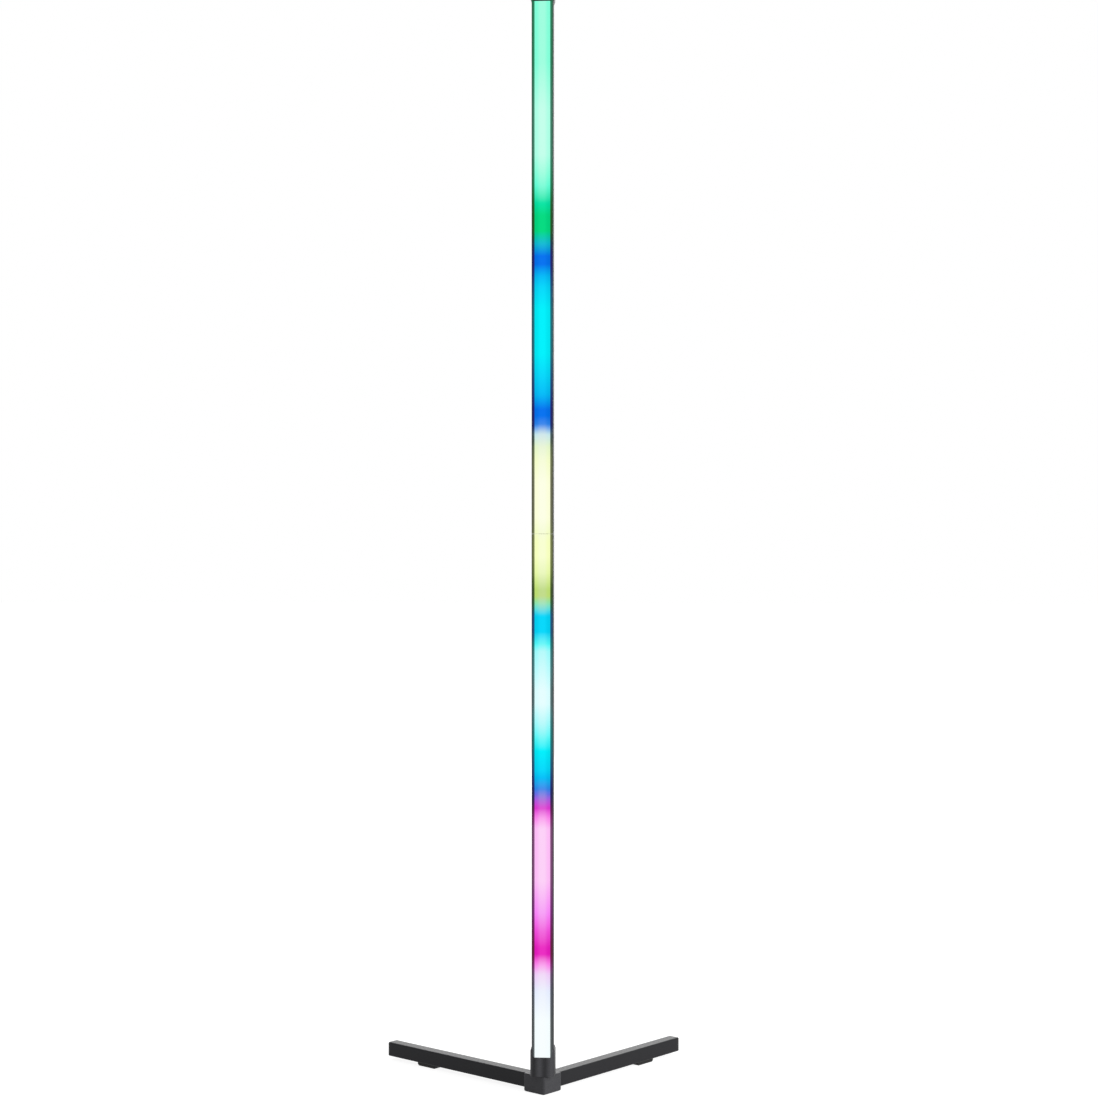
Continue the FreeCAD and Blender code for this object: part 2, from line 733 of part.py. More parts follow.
def elbow(inset=0.0):
    """Corners of the hub in plan, drawn in all round by the inset."""
    half = HUB_ARM_WIDTH / 2 - inset
    reach = HUB_ARM_REACH - inset
    nose = half / math.sin(math.radians(SPREAD_ANGLE / 2))
    nose_radius = max(HUB_NOSE_RADIUS - inset, HUB_SMALL_RADIUS)
    end_radius = max(HUB_END_RADIUS - inset, HUB_SMALL_RADIUS)
    corners = [
        (-nose, 0, BASE_REAR, nose_radius),
        (reach, -half, LEG_ANGLES["right"], end_radius),
        (reach, half, LEG_ANGLES["right"], end_radius),
        (nose, 0, BASE_REAR, HUB_INNER_RADIUS + inset),
        (reach, -half, LEG_ANGLES["left"], end_radius),
        (reach, half, LEG_ANGLES["left"], end_radius),
    ]
    return [turned_point(x, y, angle) + (radius,) for x, y, angle, radius in corners]


def toe_cutter():
    """Waste outside the rounded lower end of an arm that points along +X."""
    corner = HUB_ARM_REACH - HUB_TOE_RADIUS
    level = HUB_RIM_HEIGHT + HUB_TOE_RADIUS
    half = HUB_ARM_WIDTH / 2 + 1
    waste = block(corner, HUB_ARM_REACH + 1, -half, half, HUB_RIM_HEIGHT - 1, level)
    keep = cylinder(HUB_TOE_RADIUS, Vector(corner, -half - 1, level), Vector(0, 1, 0), 2 * half + 2)
    return waste.cut(keep)


def spigot():
    """Tongue along +X that fills the end of a leg tube."""
    gap = LEG_WALL + SPIGOT_CLEARANCE
    root = HUB_ARM_REACH - HUB_END_RADIUS
    tip = HUB_ARM_REACH + SPIGOT_LENGTH
    half = LEG_WIDTH / 2 - gap
    tongue = block(root, tip, -half, half, LEG_UNDERSIDE + gap, leg_top - gap)
    tip_edges = [edge for edge in tongue.Edges if edge.BoundBox.XMin > tip - 0.01]
    tongue = tongue.makeChamfer(SPIGOT_CHAMFER, tip_edges)
    for step in LEG_SCREW_STEPS:
        start = Vector(leg_start + step, 0, LEG_UNDERSIDE)
        tongue = tongue.cut(bore(LEG_SCREW[2] + SCREW_CLEARANCE, start, UP, LEG_SCREW[3] + 1))
    return tongue


def make_corner_hub():
    """Cast elbow with two spigots, a recess underneath and sunk seats for the socket bolts."""
    body = bevelled(elbow(), HUB_RIM_HEIGHT, hub_top, HUB_TOP_CHAMFER, HUB_TOP_CHAMFER)
    for angle in LEG_ANGLES.values():
        body = body.cut(turned(toe_cutter(), angle))
    for angle in LEG_ANGLES.values():
        body = body.fuse(turned(spigot(), angle))
    body = body.cut(prism(elbow(HUB_RIM_WALL), HUB_RIM_HEIGHT - 1, hub_recess_top))
    for y in bolt_places():
        head_room = bore(
            SOCKET_BOLT[0] + BOLT_HEAD_CLEARANCE, Vector(0, y, hub_recess_top - 1), UP,
            bolt_seat() - hub_recess_top + 1,
        )
        hole = bore(SOCKET_BOLT[2] + SCREW_CLEARANCE, Vector(0, y, hub_recess_top), UP, hub_top)
        body = body.cut(head_room).cut(hole)
    for place in plate_screw_places():
        start = Vector(place.x, place.y, hub_recess_top - 1)
        body = body.cut(bore(PLATE_SCREW[2] + SCREW_CLEARANCE, start, UP, PLATE_SCREW[3] + 2))
    return body


def plate_screw_places():
    spots = [turned_point(PLATE_SCREW_REACH, 0, angle) for angle in LEG_ANGLES.values()]
    return [Vector(x, y, 0) for x, y in spots]


def make_hub_base_plate():
    plate = prism(elbow(HUB_RIM_WALL + PLATE_CLEARANCE), PAD_THICKNESS, hub_recess_top)
    for place in plate_screw_places():
        start = Vector(place.x, place.y, PAD_THICKNESS)
        plate = plate.cut(placed(countersink(PLATE_SCREW), start, UP))
        plate = plate.cut(bore(PLATE_SCREW[2] + SCREW_CLEARANCE, start, UP, PLATE_THICKNESS + 1))
    return plate


def make_base_plate_screws():
    places = [Vector(p.x, p.y, PAD_THICKNESS + SCREW_SINK) for p in plate_screw_places()]
    return group([placed(screw(PLATE_SCREW, countersunk=True), place, UP) for place in places])


def make_hub_rubber_pad():
    return prism(elbow(HUB_RIM_WALL + 2 * PLATE_CLEARANCE), 0, PAD_THICKNESS)


# ---------------------------------------------------------------- legs

def leg_bar(x_low, x_high, gap, radius):
    """Solid bar along +X with the section of a leg, drawn in by the gap."""
    half = LEG_WIDTH / 2 - gap
    bar = prism(
        rectangle(half, LEG_UNDERSIDE + gap, leg_top - gap, radius, radius), 0, x_high - x_low
    )
    bar.rotate(ORIGIN, Vector(1, 0, 0), 90)
    bar.rotate(ORIGIN, UP, 90)
    bar.translate(Vector(x_low, 0, 0))
    return bar


def foot_peg_places():
    return (FOOT_CENTRE - FOOT_PEG_SPACING / 2, FOOT_CENTRE + FOOT_PEG_SPACING / 2)


def make_leg_tube():
    """Rectangular tube, drilled underneath for its two screws and for the pegs of the foot."""
    tube = leg_bar(leg_start, leg_end, 0, LEG_RADIUS)
    tube = tube.cut(leg_bar(leg_start - 1, leg_end + 1, LEG_WALL, LEG_INNER_RADIUS))
    for x in foot_peg_places():
        start = Vector(x, 0, LEG_UNDERSIDE - 1)
        tube = tube.cut(bore(FOOT_PEG_RADIUS + FOOT_PEG_CLEARANCE, start, UP, LEG_WALL + 2))
    for step in LEG_SCREW_STEPS:
        start = Vector(leg_start + step, 0, LEG_UNDERSIDE)
        tube = tube.cut(placed(countersink(LEG_SCREW), start, UP))
    return tube


def make_leg_screws():
    head_face = LEG_UNDERSIDE + SCREW_SINK
    places = [Vector(leg_start + step, 0, head_face) for step in LEG_SCREW_STEPS]
    return group([placed(screw(LEG_SCREW, countersunk=True), place, UP) for place in places])


def make_leg_end_cap():
    """Moulded plug: a flange the size of the tube and a hollow tail inside it."""
    flange = leg_bar(leg_end, leg_end + PLUG_FLANGE, 0, LEG_RADIUS)
    rim = [edge for edge in flange.Edges if edge.BoundBox.XMin > leg_end + PLUG_FLANGE - 0.01]
    flange = flange.makeChamfer(PLUG_EDGE_CHAMFER, rim)
    gap = LEG_WALL + PLUG_CLEARANCE
    tail = leg_bar(leg_end - PLUG_LENGTH, leg_end, gap, LEG_INNER_RADIUS)
    hollow = leg_bar(leg_end - PLUG_LENGTH - 1, leg_end - 1, gap + PLUG_WALL, 0)
    return flange.fuse(tail.cut(hollow)).removeSplitter()


def make_foot_pad():
    """Rubber foot with sloping ends, held by two pegs that push into the tube."""
    half = FOOT_LENGTH / 2
    side = [
        (FOOT_CENTRE - half + FOOT_END_SLOPE, 0, FOOT_EDGE_RADIUS),
        (FOOT_CENTRE + half - FOOT_END_SLOPE, 0, FOOT_EDGE_RADIUS),
        (FOOT_CENTRE + half, FOOT_END_SLOPE, 0),
        (FOOT_CENTRE + half, LEG_UNDERSIDE, 0),
        (FOOT_CENTRE - half, LEG_UNDERSIDE, 0),
        (FOOT_CENTRE - half, FOOT_END_SLOPE, 0),
    ]
    pad = prism(side, 0, FOOT_WIDTH)
    pad.rotate(ORIGIN, Vector(1, 0, 0), 90)
    pad.translate(Vector(0, FOOT_WIDTH / 2, 0))
    for x in foot_peg_places():
        start = Vector(x, 0, LEG_UNDERSIDE - 1)
        pad = pad.fuse(bore(FOOT_PEG_RADIUS, start, UP, 1 + LEG_WALL + FOOT_PEG_GRIP))
    return pad.removeSplitter()


# ---------------------------------------------------------------- top cap

def make_top_cap():
    """Cap over the head of the pole: bevelled skirt, ledge, hollow top and two screw bosses."""
    low = pole_top - CAP_SKIRT
    footprint = rectangle(
        cap_half_width, -cap_half_depth, cap_half_depth, CAP_FRONT_RADIUS, CAP_REAR_RADIUS
    )
    cap = bevelled(footprint, low, lamp_top, CAP_TOP_CHAMFER, CAP_TOP_CHAMFER)
    low_edges = [edge for edge in cap.Edges if edge.BoundBox.ZMax < low + 0.01]
    cap = cap.makeChamfer(CAP_BEVEL_HEIGHT, CAP_BEVEL_WIDTH, low_edges)
    pocket = rectangle(
        half_width + CAP_CLEARANCE, front - CAP_CLEARANCE, back + CAP_CLEARANCE,
        PROFILE_FRONT_RADIUS + CAP_CLEARANCE, PROFILE_REAR_RADIUS + CAP_CLEARANCE,
    )
    cap = cap.cut(prism(pocket, low - 1, pole_top))
    plate_underside = lamp_top - CAP_TOP_PLATE
    hollow = rectangle(
        half_width - CAP_LEDGE, front + CAP_LEDGE, back - CAP_LEDGE, CAP_HOLLOW_RADIUS, CAP_HOLLOW_RADIUS
    )
    cap = cap.cut(prism(hollow, pole_top - 1, plate_underside))
    for side in (-1, 1):
        place = Vector(side * port_x, port_y, pole_top)
        cap = cap.fuse(bore(CAP_BOSS_RADIUS, place, UP, lamp_top - CAP_TOP_PLATE / 2 - pole_top))
    for side in (-1, 1):
        place = Vector(side * port_x, port_y, pole_top - 1)
        cap = cap.cut(bore(CAP_SCREW[2] + SCREW_CLEARANCE, place, UP, CAP_TOP_RISE + 2))
        mouth = Vector(side * port_x, port_y, lamp_top)
        cap = cap.cut(placed(countersink(CAP_SCREW), mouth, -UP))
    return cap.removeSplitter()


def make_top_cap_screws():
    places = [Vector(side * port_x, port_y, lamp_top - SCREW_SINK) for side in (-1, 1)]
    return group([placed(screw(CAP_SCREW, countersunk=True), place, -UP) for place in places])


# ---------------------------------------------------------------- build

os.makedirs("parts", exist_ok=True)

save("corner_hub", make_corner_hub())
save("hub_base_plate", make_hub_base_plate())
save("base_plate_screws", make_base_plate_screws())
save("hub_rubber_pad", make_hub_rubber_pad())
save("socket_bolts", make_socket_bolts())
save("pole_socket", make_pole_socket())
save("pole_screws", make_pole_screws())

for leg_side, leg_angle in LEG_ANGLES.items():
    save(leg_side + "_leg_tube", turned(make_leg_tube(), leg_angle))
    save(leg_side + "_leg_screws", turned(make_leg_screws(), leg_angle))
    save(leg_side + "_leg_end_cap", turned(make_leg_end_cap(), leg_angle))
    save(leg_side + "_foot_pad", turned(make_foot_pad(), leg_angle))

save("lower_profile", make_lower_profile())
save("upper_profile", make_upper_profile())
save("lower_diffuser", make_diffuser(pole_foot))
save("upper_diffuser", make_diffuser(seam_top))
save("splice_bar", make_splice_bar())
save("splice_screws", make_splice_screws())
for strip_position in strip_spans:
    save(strip_position + "_led_strip", make_led_strip(strip_position))
    save(strip_position + "_led_chips", make_led_chips(strip_position))
save("strip_link_socket", make_strip_link_socket())
save("strip_link_plug", make_strip_link_plug())

save("dc_inlet_jack", make_dc_inlet_jack())
save("dc_inlet_nut", make_dc_inlet_nut())
save("inlet_leads", make_inlet_leads())
save("board_tape", make_board_tape())
save("control_board", make_control_board())
save("control_components", make_control_components())
save("strip_leads", make_strip_leads())

save("top_cap", make_top_cap())
save("top_cap_screws", make_top_cap_screws())

print("lamp height", round(lamp_top, 2))
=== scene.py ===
import math

import bmesh
import bpy
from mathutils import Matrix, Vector


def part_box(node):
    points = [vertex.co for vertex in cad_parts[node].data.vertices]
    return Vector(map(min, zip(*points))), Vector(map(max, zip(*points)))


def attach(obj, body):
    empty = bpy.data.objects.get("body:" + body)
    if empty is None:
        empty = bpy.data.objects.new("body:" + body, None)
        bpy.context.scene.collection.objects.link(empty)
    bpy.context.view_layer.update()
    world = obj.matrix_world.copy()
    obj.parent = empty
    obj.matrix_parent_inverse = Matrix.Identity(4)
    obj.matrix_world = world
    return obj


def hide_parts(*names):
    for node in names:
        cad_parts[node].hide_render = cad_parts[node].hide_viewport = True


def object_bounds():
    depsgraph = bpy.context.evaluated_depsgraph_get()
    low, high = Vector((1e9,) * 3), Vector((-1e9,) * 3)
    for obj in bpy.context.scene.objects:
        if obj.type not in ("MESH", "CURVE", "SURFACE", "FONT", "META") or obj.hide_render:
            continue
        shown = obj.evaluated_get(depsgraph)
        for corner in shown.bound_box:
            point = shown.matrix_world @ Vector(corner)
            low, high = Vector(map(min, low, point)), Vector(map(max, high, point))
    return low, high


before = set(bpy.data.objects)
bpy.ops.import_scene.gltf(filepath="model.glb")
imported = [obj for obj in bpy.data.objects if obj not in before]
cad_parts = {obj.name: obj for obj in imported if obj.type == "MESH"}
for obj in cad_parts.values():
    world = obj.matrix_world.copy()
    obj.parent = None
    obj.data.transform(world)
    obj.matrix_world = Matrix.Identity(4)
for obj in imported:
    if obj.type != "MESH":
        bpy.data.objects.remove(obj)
cad_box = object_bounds()

bl_info = {
    "name": "Corner Light Bar Lamp",
    "version": (1, 0, 0),
    "blender": (4, 5, 0),
    "location": "3D View > Sidebar > Lamp",
    "description": "Finishes a corner floor lamp: a lit bar on a low base of two legs",
    "category": "Object",
}

MM = 0.001
WAVE_SCALE = 2 * math.pi / 20  # a wave texture of scale 1 repeats every 2 pi / 20

# ---------------------------------------------------------------- the run of coloured light

# The colours that the opal cover shows, named once and used by height below.
LIGHT_COLOURS = {
    "mint": "#A0FEDF",
    "pale_mint": "#C4FFEB",
    "spring": "#80FCD8",
    "emerald": "#10E6A8",
    "green": "#09DB82",
    "teal": "#1ABBD6",
    "blue": "#0C74F0",
    "azure": "#0ABCF8",
    "sky": "#0BD8FB",
    "cyan": "#05F2FD",
    "cornflower": "#458CEC",
    "haze": "#D0E7EC",
    "ivory": "#EAF6D8",
    "cream": "#F7FDDA",
    "pale_cream": "#FDFFE6",
    "butter": "#F9FFD2",
    "lime": "#EBF8BE",
    "olive": "#C2DC8C",
    "sea": "#A4E4BE",
    "aqua": "#B6FAFB",
    "ice_cyan": "#E6FEFF",
    "turquoise": "#6EF8F8",
    "violet": "#8E86E2",
    "orchid": "#E050D4",
    "blush": "#FBA4EF",
    "pink": "#FDD1F8",
    "lilac": "#F7A2F7",
    "rose": "#F26CDF",
    "magenta": "#EB30C3",
    "pearl": "#F2DAF8",
    "ice": "#EDF2FE",
    "white": "#F8FEFF",
}

# Height in millimetres above the floor, and the colour that the bar shows there.
LIGHT_RUN_UPPER = (
    (1180, "mint"), (1120, "mint"), (1070, "pale_mint"), (1020, "pale_mint"), (999, "mint"),
    (986, "spring"), (968, "emerald"), (954, "green"), (937, "green"),
    (923, "teal"), (910, "blue"), (901, "blue"), (888, "azure"), (876, "sky"), (852, "cyan"),
    (804, "cyan"), (780, "sky"), (760, "azure"), (744, "blue"), (736, "blue"), (727, "cornflower"),
    (717, "haze"), (703, "ivory"), (688, "cream"), (664, "pale_cream"), (626, "pale_cream"),
    (612, "cream"), (604, "butter"),
)
LIGHT_RUN_LOWER = (
    (612, "cream"), (600, "butter"), (584, "butter"), (566, "lime"), (548, "olive"), (541, "olive"),
    (533, "sea"), (520, "sky"), (502, "sky"), (489, "turquoise"), (481, "aqua"), (438, "ice_cyan"),
    (424, "ice_cyan"), (402, "aqua"), (386, "turquoise"), (374, "cyan"), (352, "sky"),
    (343, "azure"), (332, "cornflower"), (325, "violet"), (311, "orchid"), (300, "blush"),
    (289, "pink"), (232, "pink"), (197, "lilac"), (178, "rose"), (160, "magenta"),
    (152, "magenta"), (141, "blush"), (131, "pearl"), (112, "ice"), (80, "white"),
)

# ---------------------------------------------------------------- places taken from the frame

profile_low, profile_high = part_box("lower_profile")
PROFILE_HALF_WIDTH = (profile_high.x - profile_low.x) / 2
PROFILE_FRONT = profile_low.y
COVER_HALF_WIDTH = 8.55 * MM  # half of the opening between the profile's lips
LIP_DEPTH = 1.6 * MM
LAMP_HEIGHT = cad_box[1].z


# ---------------------------------------------------------------- settings

class LampFinishSettings(bpy.types.PropertyGroup):
    """Colours of the lamp's coats, and how brightly the bar glows."""

    coat_hex: bpy.props.StringProperty(
        name="Powder coat", description="sRGB hex colour of the coat on the hub and socket",
        default="#444447",
    )
    leg_hex: bpy.props.StringProperty(
        name="Leg coat", description="sRGB hex colour of the coat on the leg tubes and the top cap",
        default="#1D1D20",
    )
    anodised_hex: bpy.props.StringProperty(
        name="Anodised pole", description="sRGB hex colour of the extrusion", default="#0E0E10",
    )
    glow: bpy.props.FloatProperty(
        name="Glow", description="Brightness of the opal cover, where 1 shows the colours as written",
        default=1.0, min=0.0, max=4.0,
    )
    # How strongly the lips glow with painted light in the bar's colour.
    painted_lip_light: bpy.props.FloatProperty(
        name="Light on the lips", description="Share of the light that the pole's lips catch",
        default=0.16, min=0.0, max=1.0,
    )


class LampStageSettings(bpy.types.PropertyGroup):
    """Camera and studio round the lamp."""

    camera_distance: bpy.props.FloatProperty(
        name="Camera distance", description="Level distance from the pole's axis to the camera",
        default=2.246, unit="LENGTH",
    )
    camera_height: bpy.props.FloatProperty(
        name="Camera height", description="Height of the level camera above the floor",
        default=0.5922, unit="LENGTH",
    )
    camera_heading: bpy.props.FloatProperty(
        name="Camera heading", description="Turn of the camera about the lamp, seen from above",
        default=math.radians(-3.5), subtype="ANGLE",
    )
    camera_offset: bpy.props.FloatProperty(
        name="Camera offset", description="How far the pole stands to the left of the picture's middle",
        default=0.0066, unit="LENGTH",
    )
    camera_lens: bpy.props.FloatProperty(
        name="Lens", description="Focal length on a 36 mm wide frame",
        default=67.6, subtype="DISTANCE_CAMERA",
    )
    floor_hex: bpy.props.StringProperty(
        name="Floor", description="sRGB hex colour of the pale floor and backdrop", default="#FFFFFF",
    )


# ---------------------------------------------------------------- helpers

def linear(hex_colour, share=1.0):
    """Linear RGBA of an sRGB hex colour, made darker or lighter by a share."""
    channels = [int(hex_colour[start:start + 2], 16) / 255 for start in (1, 3, 5)]
    return tuple(
        share * (value / 12.92 if value <= 0.04045 else ((value + 0.055) / 1.055) ** 2.4)
        for value in channels
    ) + (1.0,)


def per_mm(size_mm):
    """Texture scale, in repeats per metre, of a pattern whose features are size_mm wide."""
    return 1 / (size_mm * MM)


def add_node(tree, kind, inputs=None, **settings):
    """New node with its settings, and its inputs set, or linked to a socket or a node's first output."""
    node = tree.nodes.new(kind)
    for name, value in settings.items():
        setattr(node, name, value)
    for name, value in (inputs or {}).items():
        source = value.outputs[0] if isinstance(value, bpy.types.Node) else value
        if isinstance(source, bpy.types.NodeSocket):
            tree.links.new(source, node.inputs[name])
        else:
            node.inputs[name].default_value = value
    return node


def start_material(name):
    """Empty material, its node tree, and the object's own coordinates in that tree."""
    material = bpy.data.materials.new(name)
    material.use_nodes = True
    tree = material.node_tree
    tree.nodes.clear()
    return material, tree, add_node(tree, "ShaderNodeTexCoord").outputs["Object"]


def finish_material(material, inputs):
    """Ends the material's tree in a Principled shader with these inputs."""
    tree = material.node_tree
    shader = add_node(tree, "ShaderNodeBsdfPrincipled", inputs)
    add_node(tree, "ShaderNodeOutputMaterial", {"Surface": shader.outputs["BSDF"]})
    return material


def dress(material, *nodes):
    """Puts the material on every slot of the named CAD nodes."""
    for name in nodes:
        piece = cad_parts[name]
        piece.data.materials.clear()
        piece.data.materials.append(material)


# ---------------------------------------------------------------- coated and plain metals

COAT_ROUGHNESS = 0.42
COAT_GLOSS = 0.15
COAT_CLOUD_MM = 45
PAINTED_SHADE_BAND_PHASE = 4.9  # sets where the bands of painted shade and painted highlight lie across the socket
ANODISED_PALE = "#19191B"  # where the dye has taken least
ANODISED_GLOSS = 0.17
ANODISED_CLOUD_MM = 60
DRAWN_LINE_MM = 0.35
DRAWN_LENGTH = 250  # times as long as it is wide
PAINTED_LIP_GAMMA = 2.7  # deepens the colour of the light painted on a lip


def powder_coat(name, coat_hex, grain_mm=1.0, painted_shade_band_mm=None):
    """Oven-cured textured powder coat: a satin skin, speckled and rippled by its fused grains.

    The grains of such a coat are about 0.3 mm, and are drawn coarser so that they show. A band spacing in
    millimetres, when given, lays soft upright bands of painted shade and painted highlight across the coat.
    """
    material, tree, place = start_material(name)
    if painted_shade_band_mm is None:
        cloud = add_node(tree, "ShaderNodeTexNoise", {
            "Vector": place, "Scale": per_mm(COAT_CLOUD_MM), "Detail": 3.0,
        })
        deep, pale = 1.0, 1.22
    else:
        # Upright bands of painted shade and painted highlight: the wave darkens and lightens the coat
        # across the socket.
        cloud = add_node(tree, "ShaderNodeTexWave", {
            "Vector": place, "Scale": WAVE_SCALE * per_mm(painted_shade_band_mm), "Distortion": 1.2, "Detail": 1.0,
            "Detail Scale": 0.2, "Phase Offset": PAINTED_SHADE_BAND_PHASE,
        })
        deep, pale = 0.62, 1.5
    tint = add_node(tree, "ShaderNodeMix", {
        "Factor": cloud.outputs["Fac"], "A": linear(coat_hex, deep), "B": linear(coat_hex, pale),
    }, data_type="RGBA")
    peel = add_node(tree, "ShaderNodeTexNoise", {
        "Vector": place, "Scale": per_mm(grain_mm), "Detail": 2.0,
    })
    grains = add_node(tree, "ShaderNodeMapRange", {
        "Value": peel.outputs["Fac"], "From Min": 0.3, "From Max": 0.7, "To Min": 0.8, "To Max": 1.2,
    })
    speckled = add_node(tree, "ShaderNodeVectorMath", {
        "Vector": tint.outputs["Result"], "Scale": grains.outputs["Result"],
    }, operation="SCALE")
    satin = add_node(tree, "ShaderNodeMapRange", {
        "Value": peel.outputs["Fac"], "To Min": COAT_ROUGHNESS - 0.05, "To Max": COAT_ROUGHNESS + 0.06,
    })
    ripple = add_node(tree, "ShaderNodeBump", {
        "Height": peel.outputs["Fac"], "Strength": 0.5, "Distance": 0.05 * MM,
    })
    return finish_material(material, {
        "Base Color": speckled.outputs["Vector"], "Roughness": satin.outputs["Result"],
        "Normal": ripple.outputs["Normal"], "Specular IOR Level": COAT_GLOSS,
    })


def light_run_colour(tree, place, run):
    """Colour of the light at the height of the shaded point, and that point's coordinates."""
    lowest, highest = run[-1][0], run[0][0]
    point = add_node(tree, "ShaderNodeSeparateXYZ", {"Vector": place}).outputs
    share = add_node(tree, "ShaderNodeMapRange", {
        "Value": point["Z"], "From Min": lowest * MM, "From Max": highest * MM,
    })
    ramp = add_node(tree, "ShaderNodeValToRGB", {"Fac": share.outputs["Result"]})
    stops = ramp.color_ramp.elements
    while len(stops) < len(run):
        stops.new(1.0)
    for stop, (height, colour) in zip(stops, reversed(run)):
        stop.position = (height - lowest) / (highest - lowest)
        stop.color = linear(LIGHT_COLOURS[colour])
    return ramp.outputs["Color"], point


def anodised_extrusion(name, run, settings):
    """Black anodised extrusion: drawn lines along its length, and lips with painted light, a glow in the
    bar's colour.
    """
    material, tree, place = start_material(name)
    stretch = add_node(tree, "ShaderNodeMapping", {
        "Vector": place, "Scale": (1.0, 1.0, 1 / DRAWN_LENGTH),
    })
    lines = add_node(tree, "ShaderNodeTexNoise", {
        "Vector": stretch.outputs["Vector"], "Scale": per_mm(DRAWN_LINE_MM), "Detail": 4.0,
    })
    cloud = add_node(tree, "ShaderNodeTexNoise", {
        "Vector": place, "Scale": per_mm(ANODISED_CLOUD_MM), "Detail": 2.0,
    })
    tint = add_node(tree, "ShaderNodeMix", {
        "Factor": cloud.outputs["Fac"], "A": linear(settings.anodised_hex), "B": linear(ANODISED_PALE),
    }, data_type="RGBA")
    sheen = add_node(tree, "ShaderNodeMapRange", {
        "Value": lines.outputs["Fac"], "To Min": 0.45, "To Max": 0.58,
    })
    grooves = add_node(tree, "ShaderNodeBump", {
        "Height": lines.outputs["Fac"], "Strength": 0.2, "Distance": 0.02 * MM,
    })

    # Painted light on the lips: they glow in the bar's colour, less for a pale colour than for a pure one,
    # and the more the nearer the cover. Behind the depth of the lips there is none.
    colour, point = light_run_colour(tree, place, run)
    deeper = add_node(tree, "ShaderNodeGamma", {"Color": colour, "Gamma": PAINTED_LIP_GAMMA})
    purity = add_node(tree, "ShaderNodeSeparateColor", {"Color": colour}, mode="HSV")
    catch = add_node(tree, "ShaderNodeMapRange", {
        "Value": purity.outputs["Green"], "From Min": 0.08, "From Max": 0.35,
        "To Min": 0.5 * settings.painted_lip_light, "To Max": settings.painted_lip_light,
    })
    across = add_node(tree, "ShaderNodeMath", {0: point["X"]}, operation="ABSOLUTE")
    near_cover = add_node(tree, "ShaderNodeMapRange", {
        "Value": across.outputs["Value"], "From Min": COVER_HALF_WIDTH, "From Max": PROFILE_HALF_WIDTH,
        "To Min": 1.5, "To Max": 0.5,
    })
    on_front = add_node(tree, "ShaderNodeMapRange", {
        "Value": point["Y"], "From Min": PROFILE_FRONT + LIP_DEPTH, "From Max": PROFILE_FRONT,
    })
    share = add_node(tree, "ShaderNodeMath", {
        0: near_cover.outputs["Result"], 1: on_front.outputs["Result"],
    }, operation="MULTIPLY")
    strength = add_node(tree, "ShaderNodeMath", {
        0: share.outputs["Value"], 1: catch.outputs["Result"],
    }, operation="MULTIPLY")
    return finish_material(material, {
        "Base Color": tint.outputs["Result"], "Roughness": sheen.outputs["Result"],
        "Normal": grooves.outputs["Normal"], "Specular IOR Level": ANODISED_GLOSS,
        "Emission Color": deeper.outputs["Color"], "Emission Strength": strength.outputs["Value"],
    })


def plated_metal(name, plate_hex, roughness):
    """Metal under thin zinc, nickel or tin: a faint mottle and a soft metallic shine."""
    material, tree, place = start_material(name)
    mottle = add_node(tree, "ShaderNodeTexVoronoi", {"Vector": place, "Scale": per_mm(2.5)})
    tint = add_node(tree, "ShaderNodeMix", {
        "Factor": mottle.outputs["Distance"], "A": linear(plate_hex), "B": linear(plate_hex, 0.8),
    }, data_type="RGBA")
    shine = add_node(tree, "ShaderNodeMapRange", {
        "Value": mottle.outputs["Distance"], "To Min": roughness, "To Max": roughness + 0.15,
    })
    return finish_material(material, {
        "Base Color": tint.outputs["Result"], "Roughness": shine.outputs["Result"], "Metallic": 1.0,
    })


def black_oxide_steel():
    """Turned and blackened screw steel: near black, with an oily metallic glint."""
    material, tree, place = start_material("screw_steel_black_oxide")
    film = add_node(tree, "ShaderNodeTexNoise", {"Vector": place, "Scale": per_mm(1.2), "Detail": 3.0})
    tint = add_node(tree, "ShaderNodeMix", {
        "Factor": film.outputs["Fac"], "A": linear("#38383B"), "B": linear("#4E4D4C"),
    }, data_type="RGBA")
    shine = add_node(tree, "ShaderNodeMapRange", {
        "Value": film.outputs["Fac"], "To Min": 0.28, "To Max": 0.46,
    })
    return finish_material(material, {
        "Base Color": tint.outputs["Result"], "Roughness": shine.outputs["Result"], "Metallic": 0.85,
    })


# ---------------------------------------------------------------- plastics and rubber

